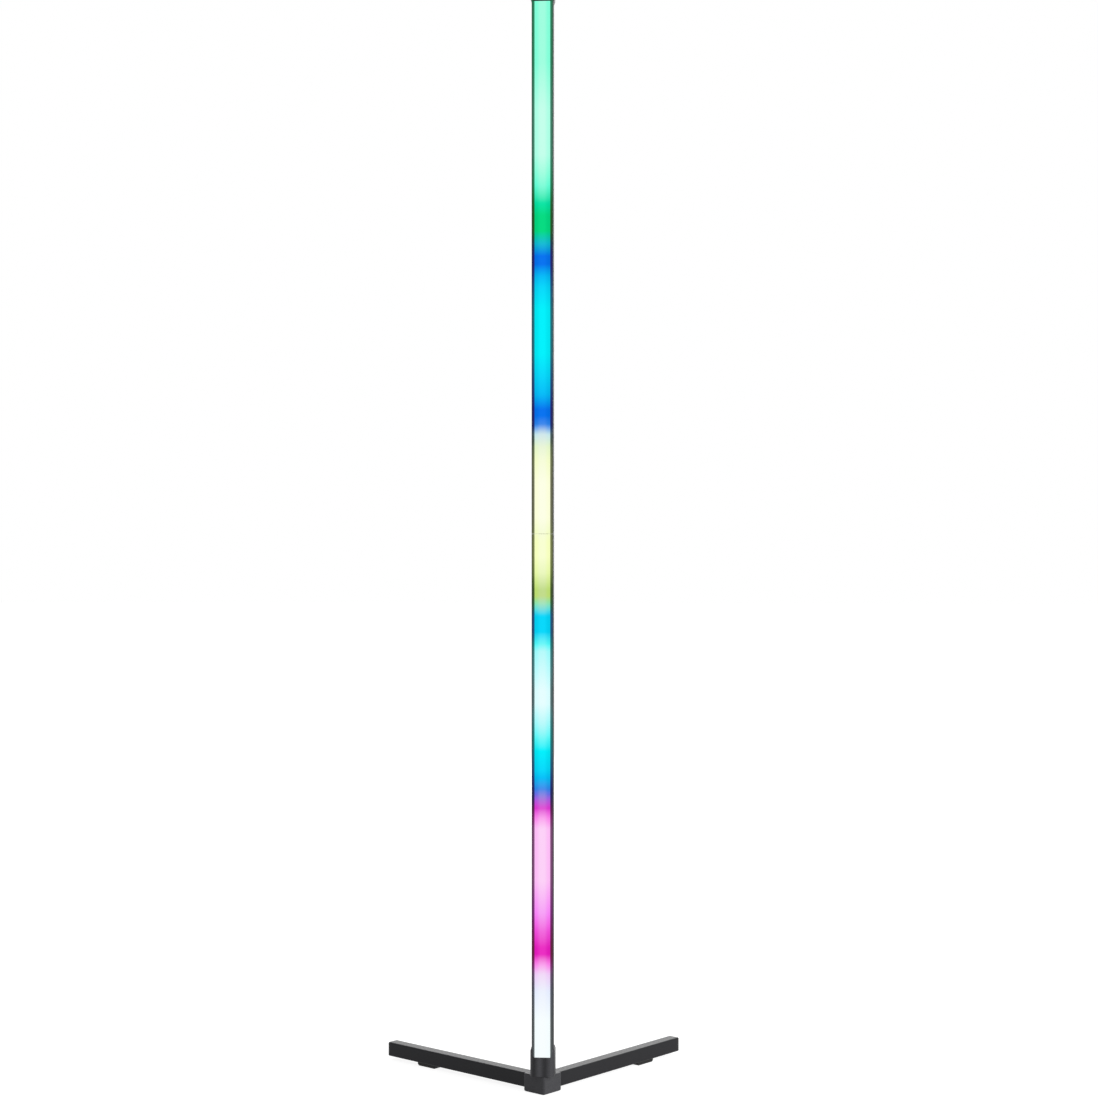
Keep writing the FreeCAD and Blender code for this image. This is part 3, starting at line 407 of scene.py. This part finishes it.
def opal_polycarbonate(name, run, settings):
    """Extruded opal cover lit from behind: paler along its middle, deeper towards the lips."""
    material, tree, place = start_material(name)
    colour, point = light_run_colour(tree, place, run)
    across = add_node(tree, "ShaderNodeMath", {0: point["X"]}, operation="ABSOLUTE")
    towards_lip = add_node(tree, "ShaderNodeMapRange", {
        "Value": across.outputs["Value"], "From Min": 0.2 * COVER_HALF_WIDTH,
        "From Max": 0.8 * COVER_HALF_WIDTH,
    }, interpolation_type="SMOOTHSTEP")
    purity = add_node(tree, "ShaderNodeSeparateColor", {"Color": colour}, mode="HSV")
    # Towards the lips a pale colour gets purer, and a pure one, which can't, gets darker.
    purer = add_node(tree, "ShaderNodeMapRange", {
        "Value": purity.outputs["Green"], "From Min": 0.25, "From Max": 1.0, "To Min": 1.42, "To Max": 1.0,
    })
    darker = add_node(tree, "ShaderNodeMapRange", {
        "Value": purity.outputs["Green"], "From Min": 0.75, "From Max": 1.0, "To Min": 1.0, "To Max": 0.88,
    })
    deeper = add_node(tree, "ShaderNodeHueSaturation", {
        "Color": colour, "Fac": towards_lip.outputs["Result"], "Saturation": purer.outputs["Result"],
        "Value": darker.outputs["Result"],
    })
    frost = add_node(tree, "ShaderNodeTexNoise", {"Vector": place, "Scale": per_mm(0.5), "Detail": 2.0})
    matt = add_node(tree, "ShaderNodeMapRange", {
        "Value": frost.outputs["Fac"], "To Min": 0.5, "To Max": 0.62,
    })
    return finish_material(material, {
        "Base Color": linear("#000000"), "Roughness": matt.outputs["Result"], "IOR": 1.5,
        "Specular IOR Level": 0.0, "Emission Color": deeper.outputs["Color"],
        "Emission Strength": settings.glow,
    })


def moulded_plastic(name, plastic_hex, grain_mm=0.5, roughness=0.5):
    """Moulded or extruded plastic: a soft sheen, broken by the fine grain that its tool leaves."""
    material, tree, place = start_material(name)
    grain = add_node(tree, "ShaderNodeTexNoise", {
        "Vector": place, "Scale": per_mm(grain_mm), "Detail": 3.0,
    })
    tint = add_node(tree, "ShaderNodeMix", {
        "Factor": grain.outputs["Fac"], "A": linear(plastic_hex), "B": linear(plastic_hex, 1.15),
    }, data_type="RGBA")
    skin = add_node(tree, "ShaderNodeMapRange", {
        "Value": grain.outputs["Fac"], "To Min": roughness - 0.06, "To Max": roughness + 0.08,
    })
    relief = add_node(tree, "ShaderNodeBump", {
        "Height": grain.outputs["Fac"], "Strength": 0.3, "Distance": 0.03 * MM,
    })
    return finish_material(material, {
        "Base Color": tint.outputs["Result"], "Roughness": skin.outputs["Result"],
        "Normal": relief.outputs["Normal"],
    })


def matt_rubber():
    """Moulded foot rubber: matt black, slightly dusty, with no gloss."""
    material, tree, place = start_material("foot_rubber_moulded")
    dust = add_node(tree, "ShaderNodeTexNoise", {"Vector": place, "Scale": per_mm(3.0), "Detail": 5.0})
    tint = add_node(tree, "ShaderNodeMix", {
        "Factor": dust.outputs["Fac"], "A": linear("#101010"), "B": linear("#1E1D1C"),
    }, data_type="RGBA")
    relief = add_node(tree, "ShaderNodeBump", {
        "Height": dust.outputs["Fac"], "Strength": 0.3, "Distance": 0.05 * MM,
    })
    return finish_material(material, {
        "Base Color": tint.outputs["Result"], "Normal": relief.outputs["Normal"], "Roughness": 0.85,
    })


# ---------------------------------------------------------------- electrics

def solder_mask_board(name, mask_hex, track_hex, track_mm):
    """Printed board: solder mask over copper tracks that show as a paler raised net."""
    material, tree, place = start_material(name)
    tracks = add_node(tree, "ShaderNodeTexBrick", {
        "Vector": place, "Scale": per_mm(1.0), "Brick Width": 3.0 * track_mm, "Row Height": 2.0 * track_mm,
        "Mortar Size": 0.2 * track_mm, "Color1": linear(mask_hex), "Color2": linear(mask_hex),
        "Mortar": linear(track_hex),
    })
    relief = add_node(tree, "ShaderNodeBump", {
        "Height": tracks.outputs["Fac"], "Strength": 0.4, "Distance": 0.03 * MM,
    })
    return finish_material(material, {
        "Base Color": tracks.outputs["Color"], "Normal": relief.outputs["Normal"], "Roughness": 0.3,
    })


def cast_resin(name, resin_hex, roughness, speckle_mm=0.3):
    """Filled resin or foam: an even, fine speckle, as in a chip's case or a foam tape."""
    material, tree, place = start_material(name)
    speckle = add_node(tree, "ShaderNodeTexNoise", {
        "Vector": place, "Scale": per_mm(speckle_mm), "Detail": 2.0,
    })
    tint = add_node(tree, "ShaderNodeMix", {
        "Factor": speckle.outputs["Fac"], "A": linear(resin_hex), "B": linear(resin_hex, 0.88),
    }, data_type="RGBA")
    return finish_material(material, {"Base Color": tint.outputs["Result"], "Roughness": roughness})


# ---------------------------------------------------------------- rows of light chips

CHIP_CASE = Vector((5.0, 1.4, 5.0)) * MM
CHIP_WINDOW_SIDES = 16
CHIP_WINDOW_RADIUS = 1.9 * MM
CHIP_WINDOW_DEPTH = 1.5 * MM
CHIP_TAB = Vector((0.7, 0.35, 1.0)) * MM
CHIP_TAB_SPREAD = 3.2 * MM  # from the lowest tab of a side to its highest
RESISTOR = Vector((1.6, 0.5, 0.8)) * MM
RESISTOR_ASIDE, RESISTOR_ABOVE = 3.0 * MM, 6.5 * MM  # from the middle of the chip
BOX_TRIANGLES = 12  # a CAD group of chips has one box for each


def chip_row_tree(materials):
    """Geometry tree: one light chip with its tabs and resistor, repeated up the strip."""
    tree = bpy.data.node_groups.new("light_chip_row", "GeometryNodeTree")
    tree.interface.new_socket("Geometry", in_out="OUTPUT", socket_type="NodeSocketGeometry")
    for name, kind in (("Count", "NodeSocketInt"), ("Pitch", "NodeSocketFloat"),
                       ("Start", "NodeSocketVector")):
        tree.interface.new_socket(name, in_out="INPUT", socket_type=kind)
    given = add_node(tree, "NodeGroupInput").outputs
    result = add_node(tree, "NodeGroupOutput")

    case = add_node(tree, "GeometryNodeMeshCube", {"Size": CHIP_CASE})
    case_set = add_node(tree, "GeometryNodeSetMaterial", {"Geometry": case, "Material": materials["case"]})
    window = add_node(tree, "GeometryNodeMeshCylinder", {
        "Vertices": CHIP_WINDOW_SIDES, "Radius": CHIP_WINDOW_RADIUS, "Depth": CHIP_WINDOW_DEPTH,
    })
    window_turned = add_node(tree, "GeometryNodeTransform", {
        "Geometry": window, "Rotation": (math.pi / 2, 0.0, 0.0),
    })
    window_set = add_node(tree, "GeometryNodeSetMaterial", {
        "Geometry": window_turned, "Material": materials["resin"],
    })

    tab_points = add_node(tree, "GeometryNodeMeshGrid", {
        "Size X": CHIP_CASE.x + CHIP_TAB.x, "Size Y": CHIP_TAB_SPREAD, "Vertices X": 2, "Vertices Y": 3,
    })
    tab_plane = add_node(tree, "GeometryNodeTransform", {
        "Geometry": tab_points, "Rotation": (math.pi / 2, 0.0, 0.0),
        "Translation": (0.0, (CHIP_CASE.y - CHIP_TAB.y) / 2, 0.0),
    })
    tab = add_node(tree, "GeometryNodeMeshCube", {"Size": CHIP_TAB})
    tabs = add_node(tree, "GeometryNodeInstanceOnPoints", {"Points": tab_plane, "Instance": tab})
    resistor = add_node(tree, "GeometryNodeMeshCube", {"Size": RESISTOR})
    resistor_moved = add_node(tree, "GeometryNodeTransform", {
        "Geometry": resistor,
        "Translation": (RESISTOR_ASIDE, (CHIP_CASE.y - RESISTOR.y) / 2, RESISTOR_ABOVE),
    })
    metal = add_node(tree, "GeometryNodeJoinGeometry")
    tree.links.new(tabs.outputs["Instances"], metal.inputs["Geometry"])
    tree.links.new(resistor_moved.outputs["Geometry"], metal.inputs["Geometry"])
    metal_set = add_node(tree, "GeometryNodeSetMaterial", {"Geometry": metal, "Material": materials["tin"]})

    chip = add_node(tree, "GeometryNodeJoinGeometry")
    for piece in (case_set, window_set, metal_set):
        tree.links.new(piece.outputs["Geometry"], chip.inputs["Geometry"])
    step = add_node(tree, "ShaderNodeCombineXYZ", {"Z": given["Pitch"]})
    line = add_node(tree, "GeometryNodeMeshLine", {
        "Count": given["Count"], "Start Location": given["Start"], "Offset": step,
    })
    row = add_node(tree, "GeometryNodeInstanceOnPoints", {"Points": line, "Instance": chip})
    real = add_node(tree, "GeometryNodeRealizeInstances", {"Geometry": row})
    tree.links.new(real.outputs["Geometry"], result.inputs["Geometry"])
    return tree


# ---------------------------------------------------------------- screws

# In millimetres: radii of the head, of its seat and of the shank, heights of the cone under the head,
# of its rim and of its crown, length and pitch of the thread, radius and depth of the hexagonal drive.
SCREW_INPUTS = (
    "Head Radius", "Seat Radius", "Shank Radius", "Cone Height", "Rim Height", "Crown Height",
    "Shank Length", "Thread Pitch", "Drive Radius", "Drive Depth",
)
SCREW_SIZES = {
    "splice_screws": (3.3, 3.1, 1.9, 0.15, 1.0, 0.75, 6.0, 0.9, 1.44, 1.0),
    "pole_screws": (2.8, 2.6, 1.4, 0.15, 1.2, 0.65, 16.0, 0.9, 1.15, 1.0),
    "socket_bolts": (4.25, 4.1, 2.5, 0.15, 4.45, 0.4, 16.2, 0.9, 2.31, 2.5),
    "top_cap_screws": (2.6, 1.5, 1.4, 1.45, 0.1, 0.05, 20.0, 0.9, 1.04, 0.9),
    "base_plate_screws": (2.7, 1.5, 1.4, 1.05, 0.1, 0.05, 7.0, 0.9, 1.04, 0.7),
    "left_leg_screws": (3.2, 2.0, 1.9, 1.05, 0.1, 0.05, 8.0, 0.9, 1.44, 0.7),
    "right_leg_screws": (3.2, 2.0, 1.9, 1.05, 0.1, 0.05, 8.0, 0.9, 1.44, 0.7),
}
# Where the heads of a group look, and the turn that brings +Z there. The other groups look down.
HEAD_DIRECTIONS = {
    "splice_screws": ((0, 1, 0), (-math.pi / 2, 0, 0)),
    "top_cap_screws": ((0, 0, 1), (0, 0, 0)),
}
LOOKING_DOWN = ((0, 0, -1), (math.pi, 0, 0))
SCREW_SIDES = 24
RINGS_PER_TURN = 5.0
THREAD_ROOT = 0.84  # radius at the thread's root, as a share of the shank's
BELOW_HEAD = 0.499  # share of the shank's length, up from its middle, that the thread reaches
CROWN_STEPS = (0.95, 0.82)  # how far each of the crown's two steps draws the head in
DRIVE_TAPER = 0.97
SMOOTH_UNDER = math.radians(32)


def screw_tree():
    """Geometry tree: a threaded screw, head outwards along +Z, set on each point and turned."""
    tree = bpy.data.node_groups.new("hexagon_drive_screw", "GeometryNodeTree")
    tree.interface.new_socket("Geometry", in_out="OUTPUT", socket_type="NodeSocketGeometry")
    tree.interface.new_socket("Geometry", in_out="INPUT", socket_type="NodeSocketGeometry")
    for name in SCREW_INPUTS:
        tree.interface.new_socket(name, in_out="INPUT", socket_type="NodeSocketFloat")
    tree.interface.new_socket("Turn", in_out="INPUT", socket_type="NodeSocketVector")
    tree.interface.new_socket("Material", in_out="INPUT", socket_type="NodeSocketMaterial")
    given = add_node(tree, "NodeGroupInput").outputs
    result = add_node(tree, "NodeGroupOutput")
    length, pitch = given["Shank Length"], given["Thread Pitch"]

    def push(mesh, face, rise, radius, old_radius):
        """Pulls the end face out by a rise, and draws it in or out to a radius."""
        pulled = add_node(tree, "GeometryNodeExtrudeMesh", {
            "Mesh": mesh, "Selection": face, "Offset Scale": rise, "Individual": False,
        })
        share = add_node(tree, "ShaderNodeMath", {0: radius, 1: old_radius}, operation="DIVIDE")
        drawn = add_node(tree, "GeometryNodeScaleElements", {
            "Geometry": pulled, "Selection": pulled.outputs["Top"], "Scale": share,
        })
        return drawn, pulled.outputs["Top"]

    # The thread is a ripple on the shank that climbs one pitch in each turn.
    ring_length = add_node(tree, "ShaderNodeMath", {0: length, 1: RINGS_PER_TURN}, operation="MULTIPLY")
    rings = add_node(tree, "ShaderNodeMath", {0: ring_length, 1: pitch}, operation="DIVIDE")
    shank = add_node(tree, "GeometryNodeMeshCylinder", {
        "Vertices": SCREW_SIDES, "Side Segments": rings, "Radius": given["Shank Radius"], "Depth": length,
    })
    position = add_node(tree, "GeometryNodeInputPosition")
    place = add_node(tree, "ShaderNodeSeparateXYZ", {"Vector": position}).outputs
    angle = add_node(tree, "ShaderNodeMath", {0: place["Y"], 1: place["X"]}, operation="ARCTAN2")
    turns = add_node(tree, "ShaderNodeMath", {0: place["Z"], 1: pitch}, operation="DIVIDE")
    climb = add_node(tree, "ShaderNodeMath", {0: turns, 1: 2 * math.pi}, operation="MULTIPLY")
    wave = add_node(tree, "ShaderNodeMath", {0: climb, 1: angle}, operation="SUBTRACT")
    ripple = add_node(tree, "ShaderNodeMath", {0: wave}, operation="SINE")
    depth = add_node(tree, "ShaderNodeMapRange", {
        "Value": ripple, "From Min": -1.0, "From Max": 1.0, "To Min": THREAD_ROOT, "To Max": 1.0,
    })
    narrowing = add_node(tree, "ShaderNodeCombineXYZ", {"X": depth, "Y": depth, "Z": 1.0})
    narrowed = add_node(tree, "ShaderNodeVectorMath", {0: position, 1: narrowing}, operation="MULTIPLY")
    thread_end = add_node(tree, "ShaderNodeMath", {0: length, 1: BELOW_HEAD}, operation="MULTIPLY")
    below_head = add_node(tree, "ShaderNodeMath", {0: place["Z"], 1: thread_end}, operation="LESS_THAN")
    threaded = add_node(tree, "GeometryNodeSetPosition", {
        "Geometry": shank, "Selection": below_head, "Position": narrowed,
    })

    # The head grows from the end of the shank: seat, cone, rim, and a crown in two steps.
    head_radius, seat_radius = given["Head Radius"], given["Seat Radius"]
    half_crown = add_node(tree, "ShaderNodeMath", {0: given["Crown Height"], 1: 0.5}, operation="MULTIPLY")
    head, face = push(threaded, shank.outputs["Top"], 0.0, seat_radius, given["Shank Radius"])
    head, face = push(head, face, given["Cone Height"], head_radius, seat_radius)
    head, face = push(head, face, given["Rim Height"], 1.0, 1.0)
    for step in CROWN_STEPS:
        head, face = push(head, face, half_crown, step, 1.0)
    crown_radius = add_node(tree, "ShaderNodeMath", {
        0: head_radius, 1: math.prod(CROWN_STEPS),
    }, operation="MULTIPLY")
    head, face = push(head, face, 0.0, given["Drive Radius"], crown_radius)

    # The round end face becomes a hexagon, and is pushed in as the drive.
    side = add_node(tree, "ShaderNodeMath", {0: angle, 1: math.pi / 3}, operation="FLOORED_MODULO")
    off_middle = add_node(tree, "ShaderNodeMath", {0: side, 1: math.pi / 6}, operation="SUBTRACT")
    bulge = add_node(tree, "ShaderNodeMath", {0: off_middle}, operation="COSINE")
    flat = add_node(tree, "ShaderNodeMath", {0: math.cos(math.pi / 6), 1: bulge}, operation="DIVIDE")
    flattening = add_node(tree, "ShaderNodeCombineXYZ", {"X": flat, "Y": flat, "Z": 1.0})
    six_sided = add_node(tree, "ShaderNodeVectorMath", {0: position, 1: flattening}, operation="MULTIPLY")
    shaped = add_node(tree, "GeometryNodeSetPosition", {
        "Geometry": head, "Selection": face, "Position": six_sided,
    })
    inwards = add_node(tree, "ShaderNodeMath", {0: given["Drive Depth"], 1: -1.0}, operation="MULTIPLY")
    screw, face = push(shaped, face, inwards, DRIVE_TAPER, 1.0)

    # The middle of the shank was the origin; now the head's outer face is.
    top = add_node(tree, "ShaderNodeMath", {0: length, 1: 0.5}, operation="MULTIPLY")
    for height in ("Cone Height", "Rim Height", "Crown Height"):
        top = add_node(tree, "ShaderNodeMath", {0: top, 1: given[height]}, operation="ADD")
    down = add_node(tree, "ShaderNodeMath", {0: top, 1: -1.0}, operation="MULTIPLY")
    lowered = add_node(tree, "GeometryNodeTransform", {
        "Geometry": screw, "Translation": add_node(tree, "ShaderNodeCombineXYZ", {"Z": down}),
    })
    screws = add_node(tree, "GeometryNodeInstanceOnPoints", {
        "Points": given["Geometry"], "Instance": lowered, "Rotation": given["Turn"],
    })
    real = add_node(tree, "GeometryNodeRealizeInstances", {"Geometry": screws})
    finished = add_node(tree, "GeometryNodeSetMaterial", {
        "Geometry": real, "Material": given["Material"],
    })
    tree.links.new(finished.outputs["Geometry"], result.inputs["Geometry"])
    return tree


def head_faces(node, outwards):
    """Middle of each screw head's outer face in a CAD group of screws, whose heads look outwards."""
    outwards = Vector(outwards)
    work = bmesh.new()
    work.from_mesh(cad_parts[node].data)
    bmesh.ops.remove_doubles(work, verts=work.verts, dist=0.001 * MM)
    unseen, faces = set(work.verts), []
    while unseen:
        screw, front = [], [unseen.pop()]
        while front:
            corner = front.pop()
            screw.append(corner.co.copy())
            near = {edge.other_vert(corner) for edge in corner.link_edges} & unseen
            unseen -= near
            front.extend(near)
        low, high = (Vector([end(values) for values in zip(*screw)]) for end in (min, max))
        middle = (low + high) / 2
        level = max(corner.dot(outwards) for corner in screw)
        faces.append(middle + (level - middle.dot(outwards)) * outwards)
    work.free()
    return sorted(faces, key=lambda face: [round(value, 5) for value in face])


def settle_nodes(name, tree, values, points=()):
    """Runs a geometry tree with the given inputs and keeps its result as a plain mesh object."""
    mesh = bpy.data.meshes.new(name)
    mesh.from_pydata(points, [], [])
    carrier = bpy.data.objects.new(name, mesh)
    bpy.context.scene.collection.objects.link(carrier)
    modifier = carrier.modifiers.new("shape", "NODES")
    modifier.node_group = tree
    for item in tree.interface.items_tree:
        if item.in_out == "INPUT" and item.name in values:
            modifier[item.identifier] = values[item.name]
    settled = carrier.evaluated_get(bpy.context.evaluated_depsgraph_get())
    mesh = bpy.data.meshes.new_from_object(settled)
    carrier.modifiers.remove(modifier)
    while mesh.materials and mesh.materials[0] is None:
        mesh.materials.pop(index=0)
    carrier.data = mesh
    mesh.name = name
    return carrier


# ---------------------------------------------------------------- operators

class LAMP_OT_light_bar(bpy.types.Operator):
    """Finish the pole: two lengths of anodised extrusion and their lit opal covers"""

    bl_idname = "lamp.light_bar"
    bl_label = "Light Bar"

    def execute(self, context):
        settings = context.scene.lamp_finish
        for part, run in (("lower", LIGHT_RUN_LOWER), ("upper", LIGHT_RUN_UPPER)):
            cover = opal_polycarbonate(f"opal_polycarbonate_lit_{part}", run, settings)
            dress(cover, f"{part}_diffuser")
            dress(anodised_extrusion(f"aluminium_anodised_black_{part}", run, settings), f"{part}_profile")
        return {"FINISHED"}


class LAMP_OT_base(bpy.types.Operator):
    """Finish the hub, socket, legs and top cap in powder coat, with rubber feet and moulded plugs"""

    bl_idname = "lamp.base"
    bl_label = "Base and Cap"

    def execute(self, context):
        settings = context.scene.lamp_finish
        dress(powder_coat("cast_aluminium_powder_coat", settings.coat_hex), "corner_hub")
        # The socket's coat carries upright bands of painted shade and painted highlight.
        dress(powder_coat("aluminium_powder_coat_painted_shade_bands", settings.coat_hex, painted_shade_band_mm=11.5), "pole_socket")
        dress(powder_coat("aluminium_powder_coat_cap", settings.leg_hex), "top_cap")
        dress(
            powder_coat("steel_tube_powder_coat", settings.leg_hex, grain_mm=1.3),
            "left_leg_tube", "right_leg_tube",
        )
        dress(moulded_plastic("nylon_black_moulded", "#161617"), "left_leg_end_cap", "right_leg_end_cap")
        dress(matt_rubber(), "left_foot_pad", "right_foot_pad", "hub_rubber_pad")
        return {"FINISHED"}


class LAMP_OT_fasteners(bpy.types.Operator):
    """Make the threaded screws and bolts, and finish the plates that they hold"""

    bl_idname = "lamp.fasteners"
    bl_label = "Fasteners"

    def execute(self, context):
        steel = black_oxide_steel()
        tree = screw_tree()
        for node, sizes in SCREW_SIZES.items():
            outwards, turn = HEAD_DIRECTIONS.get(node, LOOKING_DOWN)
            values = {name: size * MM for name, size in zip(SCREW_INPUTS, sizes)}
            values.update({"Turn": turn, "Material": steel})
            screws = settle_nodes(f"round_{node}", tree, values, head_faces(node, outwards))
            screws.data.shade_smooth()
            screws.data.set_sharp_from_angle(angle=SMOOTH_UNDER)
            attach(screws, "root")
            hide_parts(node)
        dress(steel, *SCREW_SIZES)
        dress(plated_metal("steel_zinc_plated", "#B4B5B3", 0.35), "hub_base_plate", "splice_bar")
        return {"FINISHED"}


class LAMP_OT_electrics(bpy.types.Operator):
    """Finish the inlet, board, leads and light strips"""

    bl_idname = "lamp.electrics"
    bl_label = "Electrics"

    def execute(self, context):
        dress(moulded_plastic("abs_black_moulded", "#19191A", 0.4, 0.38), "dc_inlet_jack")
        dress(plated_metal("brass_nickel_plated", "#C9C6BC", 0.25), "dc_inlet_nut")
        dress(solder_mask_board("board_green_solder_mask", "#0F4A2C", "#2C7A4B", 1.0), "control_board")
        dress(cast_resin("chip_resin_moulded", "#1C1C1F", 0.55), "control_components")
        dress(cast_resin("foam_tape_white", "#D8D6CF", 0.9, 0.8), "board_tape")
        dress(moulded_plastic("lead_pvc_extruded", "#B01F24", 1.5, 0.4), "inlet_leads", "strip_leads")
        dress(
            moulded_plastic("nylon_white_moulded", "#E6E3D8", 0.6, 0.45),
            "strip_link_socket", "strip_link_plug",
        )
        dress(
            solder_mask_board("strip_white_solder_mask", "#E9E9E4", "#D8CDB6", 1.6),
            "lower_led_strip", "upper_led_strip",
        )
        return {"FINISHED"}


class LAMP_OT_light_chips(bpy.types.Operator):
    """Put a row of light chips, each with its tabs and resistor, on each strip"""

    bl_idname = "lamp.light_chips"
    bl_label = "Light Chips"

    def execute(self, context):
        materials = {
            "case": cast_resin("chip_case_white", "#E8E6E0", 0.4),
            "resin": cast_resin("chip_resin_clear_yellow", "#EBDFA6", 0.15),
            "tin": plated_metal("tab_tin_plated", "#CFCFCC", 0.3),
        }
        tree = chip_row_tree(materials)
        for part in ("lower", "upper"):
            node = f"{part}_led_chips"
            low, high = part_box(node)
            count = len(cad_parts[node].data.polygons) // BOX_TRIANGLES
            span = high.z - low.z - CHIP_CASE.z
            start = Vector(((low.x + high.x) / 2, high.y - CHIP_CASE.y / 2, low.z + CHIP_CASE.z / 2))
            row = settle_nodes(f"{part}_chip_row", tree, {
                "Count": count, "Pitch": span / (count - 1), "Start": start,
            })
            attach(row, "root")
            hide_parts(node)
        return {"FINISHED"}


class LAMP_OT_studio(bpy.types.Operator):
    """Set the pale floor, the soft studio light and the camera"""

    bl_idname = "lamp.studio"
    bl_label = "Studio"

    def execute(self, context):
        settings = context.scene.lamp_stage
        make_floor(settings)
        make_world(settings)
        make_lights()
        make_camera(settings)
        context.scene.view_settings.view_transform = "Standard"
        return {"FINISHED"}


# ---------------------------------------------------------------- stage

FLOOR_SIZE = 40.0
FLOOR_SHARE = 0.45  # share of the floor's colour that takes light and shadow
FLOOR_GLOW = 0.86  # share of it that the camera sees besides
FILL_LEVEL = 0.4  # strength of the world's light on the lamp
SENSOR_WIDTH = 36.0
SOFTBOXES = (  # name, place, size and power
    ("key_softbox", (2.6, -1.0, 1.2), 1.6, 60.0),
    ("fill_softbox", (-1.8, -1.6, 2.4), 1.6, 4.0),
    ("rear_softbox", (0.0, 3.2, 1.5), 2.4, 36.0),
)


def seen_or_mirrored(tree):
    """1 for what the camera sees directly, in a reflection or through glass, and 0 for the rest."""
    path = add_node(tree, "ShaderNodeLightPath")
    glossy = add_node(tree, "ShaderNodeMath", {
        0: path.outputs["Is Camera Ray"], 1: path.outputs["Is Glossy Ray"],
    }, operation="MAXIMUM")
    return add_node(tree, "ShaderNodeMath", {
        0: glossy.outputs["Value"], 1: path.outputs["Is Transmission Ray"],
    }, operation="MAXIMUM").outputs["Value"]


def make_floor(settings):
    """Pale floor that takes the lamp's shadow and runs out into the white background."""
    mesh = bpy.data.meshes.new("studio_floor")
    half = FLOOR_SIZE / 2
    corners = [(-half, -half, 0), (half, -half, 0), (half, half, 0), (-half, half, 0)]
    mesh.from_pydata(corners, [], [(0, 1, 2, 3)])
    floor = bpy.data.objects.new("studio_floor", mesh)
    bpy.context.scene.collection.objects.link(floor)
    material = bpy.data.materials.new("studio_floor_pale")
    material.use_nodes = True
    tree = material.node_tree
    tree.nodes.clear()
    matt = add_node(tree, "ShaderNodeBsdfDiffuse", {"Color": linear(settings.floor_hex, FLOOR_SHARE)})
    glow = add_node(tree, "ShaderNodeEmission", {
        "Color": linear(settings.floor_hex, FLOOR_GLOW),
        "Strength": seen_or_mirrored(tree),
    })
    both = add_node(tree, "ShaderNodeAddShader", {0: matt.outputs["BSDF"], 1: glow.outputs["Emission"]})
    add_node(tree, "ShaderNodeOutputMaterial", {"Surface": both.outputs["Shader"]})
    mesh.materials.append(material)


def make_world(settings):
    """White surroundings to the camera and in reflections, and an even fill on everything."""
    world = bpy.data.worlds.new("studio_world")
    bpy.context.scene.world = world
    world.use_nodes = True
    tree = world.node_tree
    tree.nodes.clear()
    level = add_node(tree, "ShaderNodeMapRange", {
        "Value": seen_or_mirrored(tree), "To Min": FILL_LEVEL, "To Max": 1.0,
    })
    sky = add_node(tree, "ShaderNodeBackground", {
        "Color": linear(settings.floor_hex), "Strength": level.outputs["Result"],
    })
    add_node(tree, "ShaderNodeOutputWorld", {"Surface": sky.outputs["Background"]})


def make_lights():
    """Softboxes: a key from the right, a weak fill from the left, and a wide one low behind."""
    target = Vector((0, 0, LAMP_HEIGHT / 4))
    for name, place, size, power in SOFTBOXES:
        light = bpy.data.lights.new(name, "AREA")
        light.shape = "SQUARE"
        light.size = size
        light.energy = power
        softbox = bpy.data.objects.new(name, light)
        softbox.location = place
        softbox.rotation_euler = (target - Vector(place)).to_track_quat("-Z", "Y").to_euler()
        softbox.visible_camera = False
        bpy.context.scene.collection.objects.link(softbox)


def make_camera(settings):
    """Level camera, turned a little about the lamp."""
    camera = bpy.data.cameras.new("studio_camera")
    camera.lens = settings.camera_lens
    camera.sensor_width = SENSOR_WIDTH
    view = bpy.data.objects.new("studio_camera", camera)
    turn = settings.camera_heading
    ahead = Vector((math.sin(turn), math.cos(turn), 0))
    right = Vector((math.cos(turn), -math.sin(turn), 0))
    place = settings.camera_offset * right - settings.camera_distance * ahead
    view.location = (place.x, place.y, settings.camera_height)
    view.rotation_euler = (math.pi / 2, 0, -turn)
    bpy.context.scene.collection.objects.link(view)
    bpy.context.scene.camera = view


# ---------------------------------------------------------------- panel and registration

OPERATORS = (
    LAMP_OT_light_bar, LAMP_OT_base, LAMP_OT_fasteners, LAMP_OT_electrics, LAMP_OT_light_chips,
    LAMP_OT_studio,
)


class LAMP_PT_sidebar(bpy.types.Panel):
    """Lists the lamp's settings and its operators"""

    bl_idname = "LAMP_PT_sidebar"
    bl_label = "Corner Floor Lamp"
    bl_space_type = "VIEW_3D"
    bl_region_type = "UI"
    bl_category = "Lamp"

    def draw(self, context):
        for settings in (context.scene.lamp_finish, context.scene.lamp_stage):
            for name in settings.__annotations__:
                self.layout.prop(settings, name)
        for operator in OPERATORS:
            self.layout.operator(operator.bl_idname)


CLASSES = (LampFinishSettings, LampStageSettings, *OPERATORS, LAMP_PT_sidebar)


def register():
    for each in CLASSES:
        bpy.utils.register_class(each)
    bpy.types.Scene.lamp_finish = bpy.props.PointerProperty(type=LampFinishSettings)
    bpy.types.Scene.lamp_stage = bpy.props.PointerProperty(type=LampStageSettings)


def unregister():
    del bpy.types.Scene.lamp_stage
    del bpy.types.Scene.lamp_finish
    for each in reversed(CLASSES):
        bpy.utils.unregister_class(each)


def main():
    register()
    for operator in OPERATORS:
        group, name = operator.bl_idname.split(".")
        getattr(getattr(bpy.ops, group), name)()


if __name__ == "__main__":
    main()
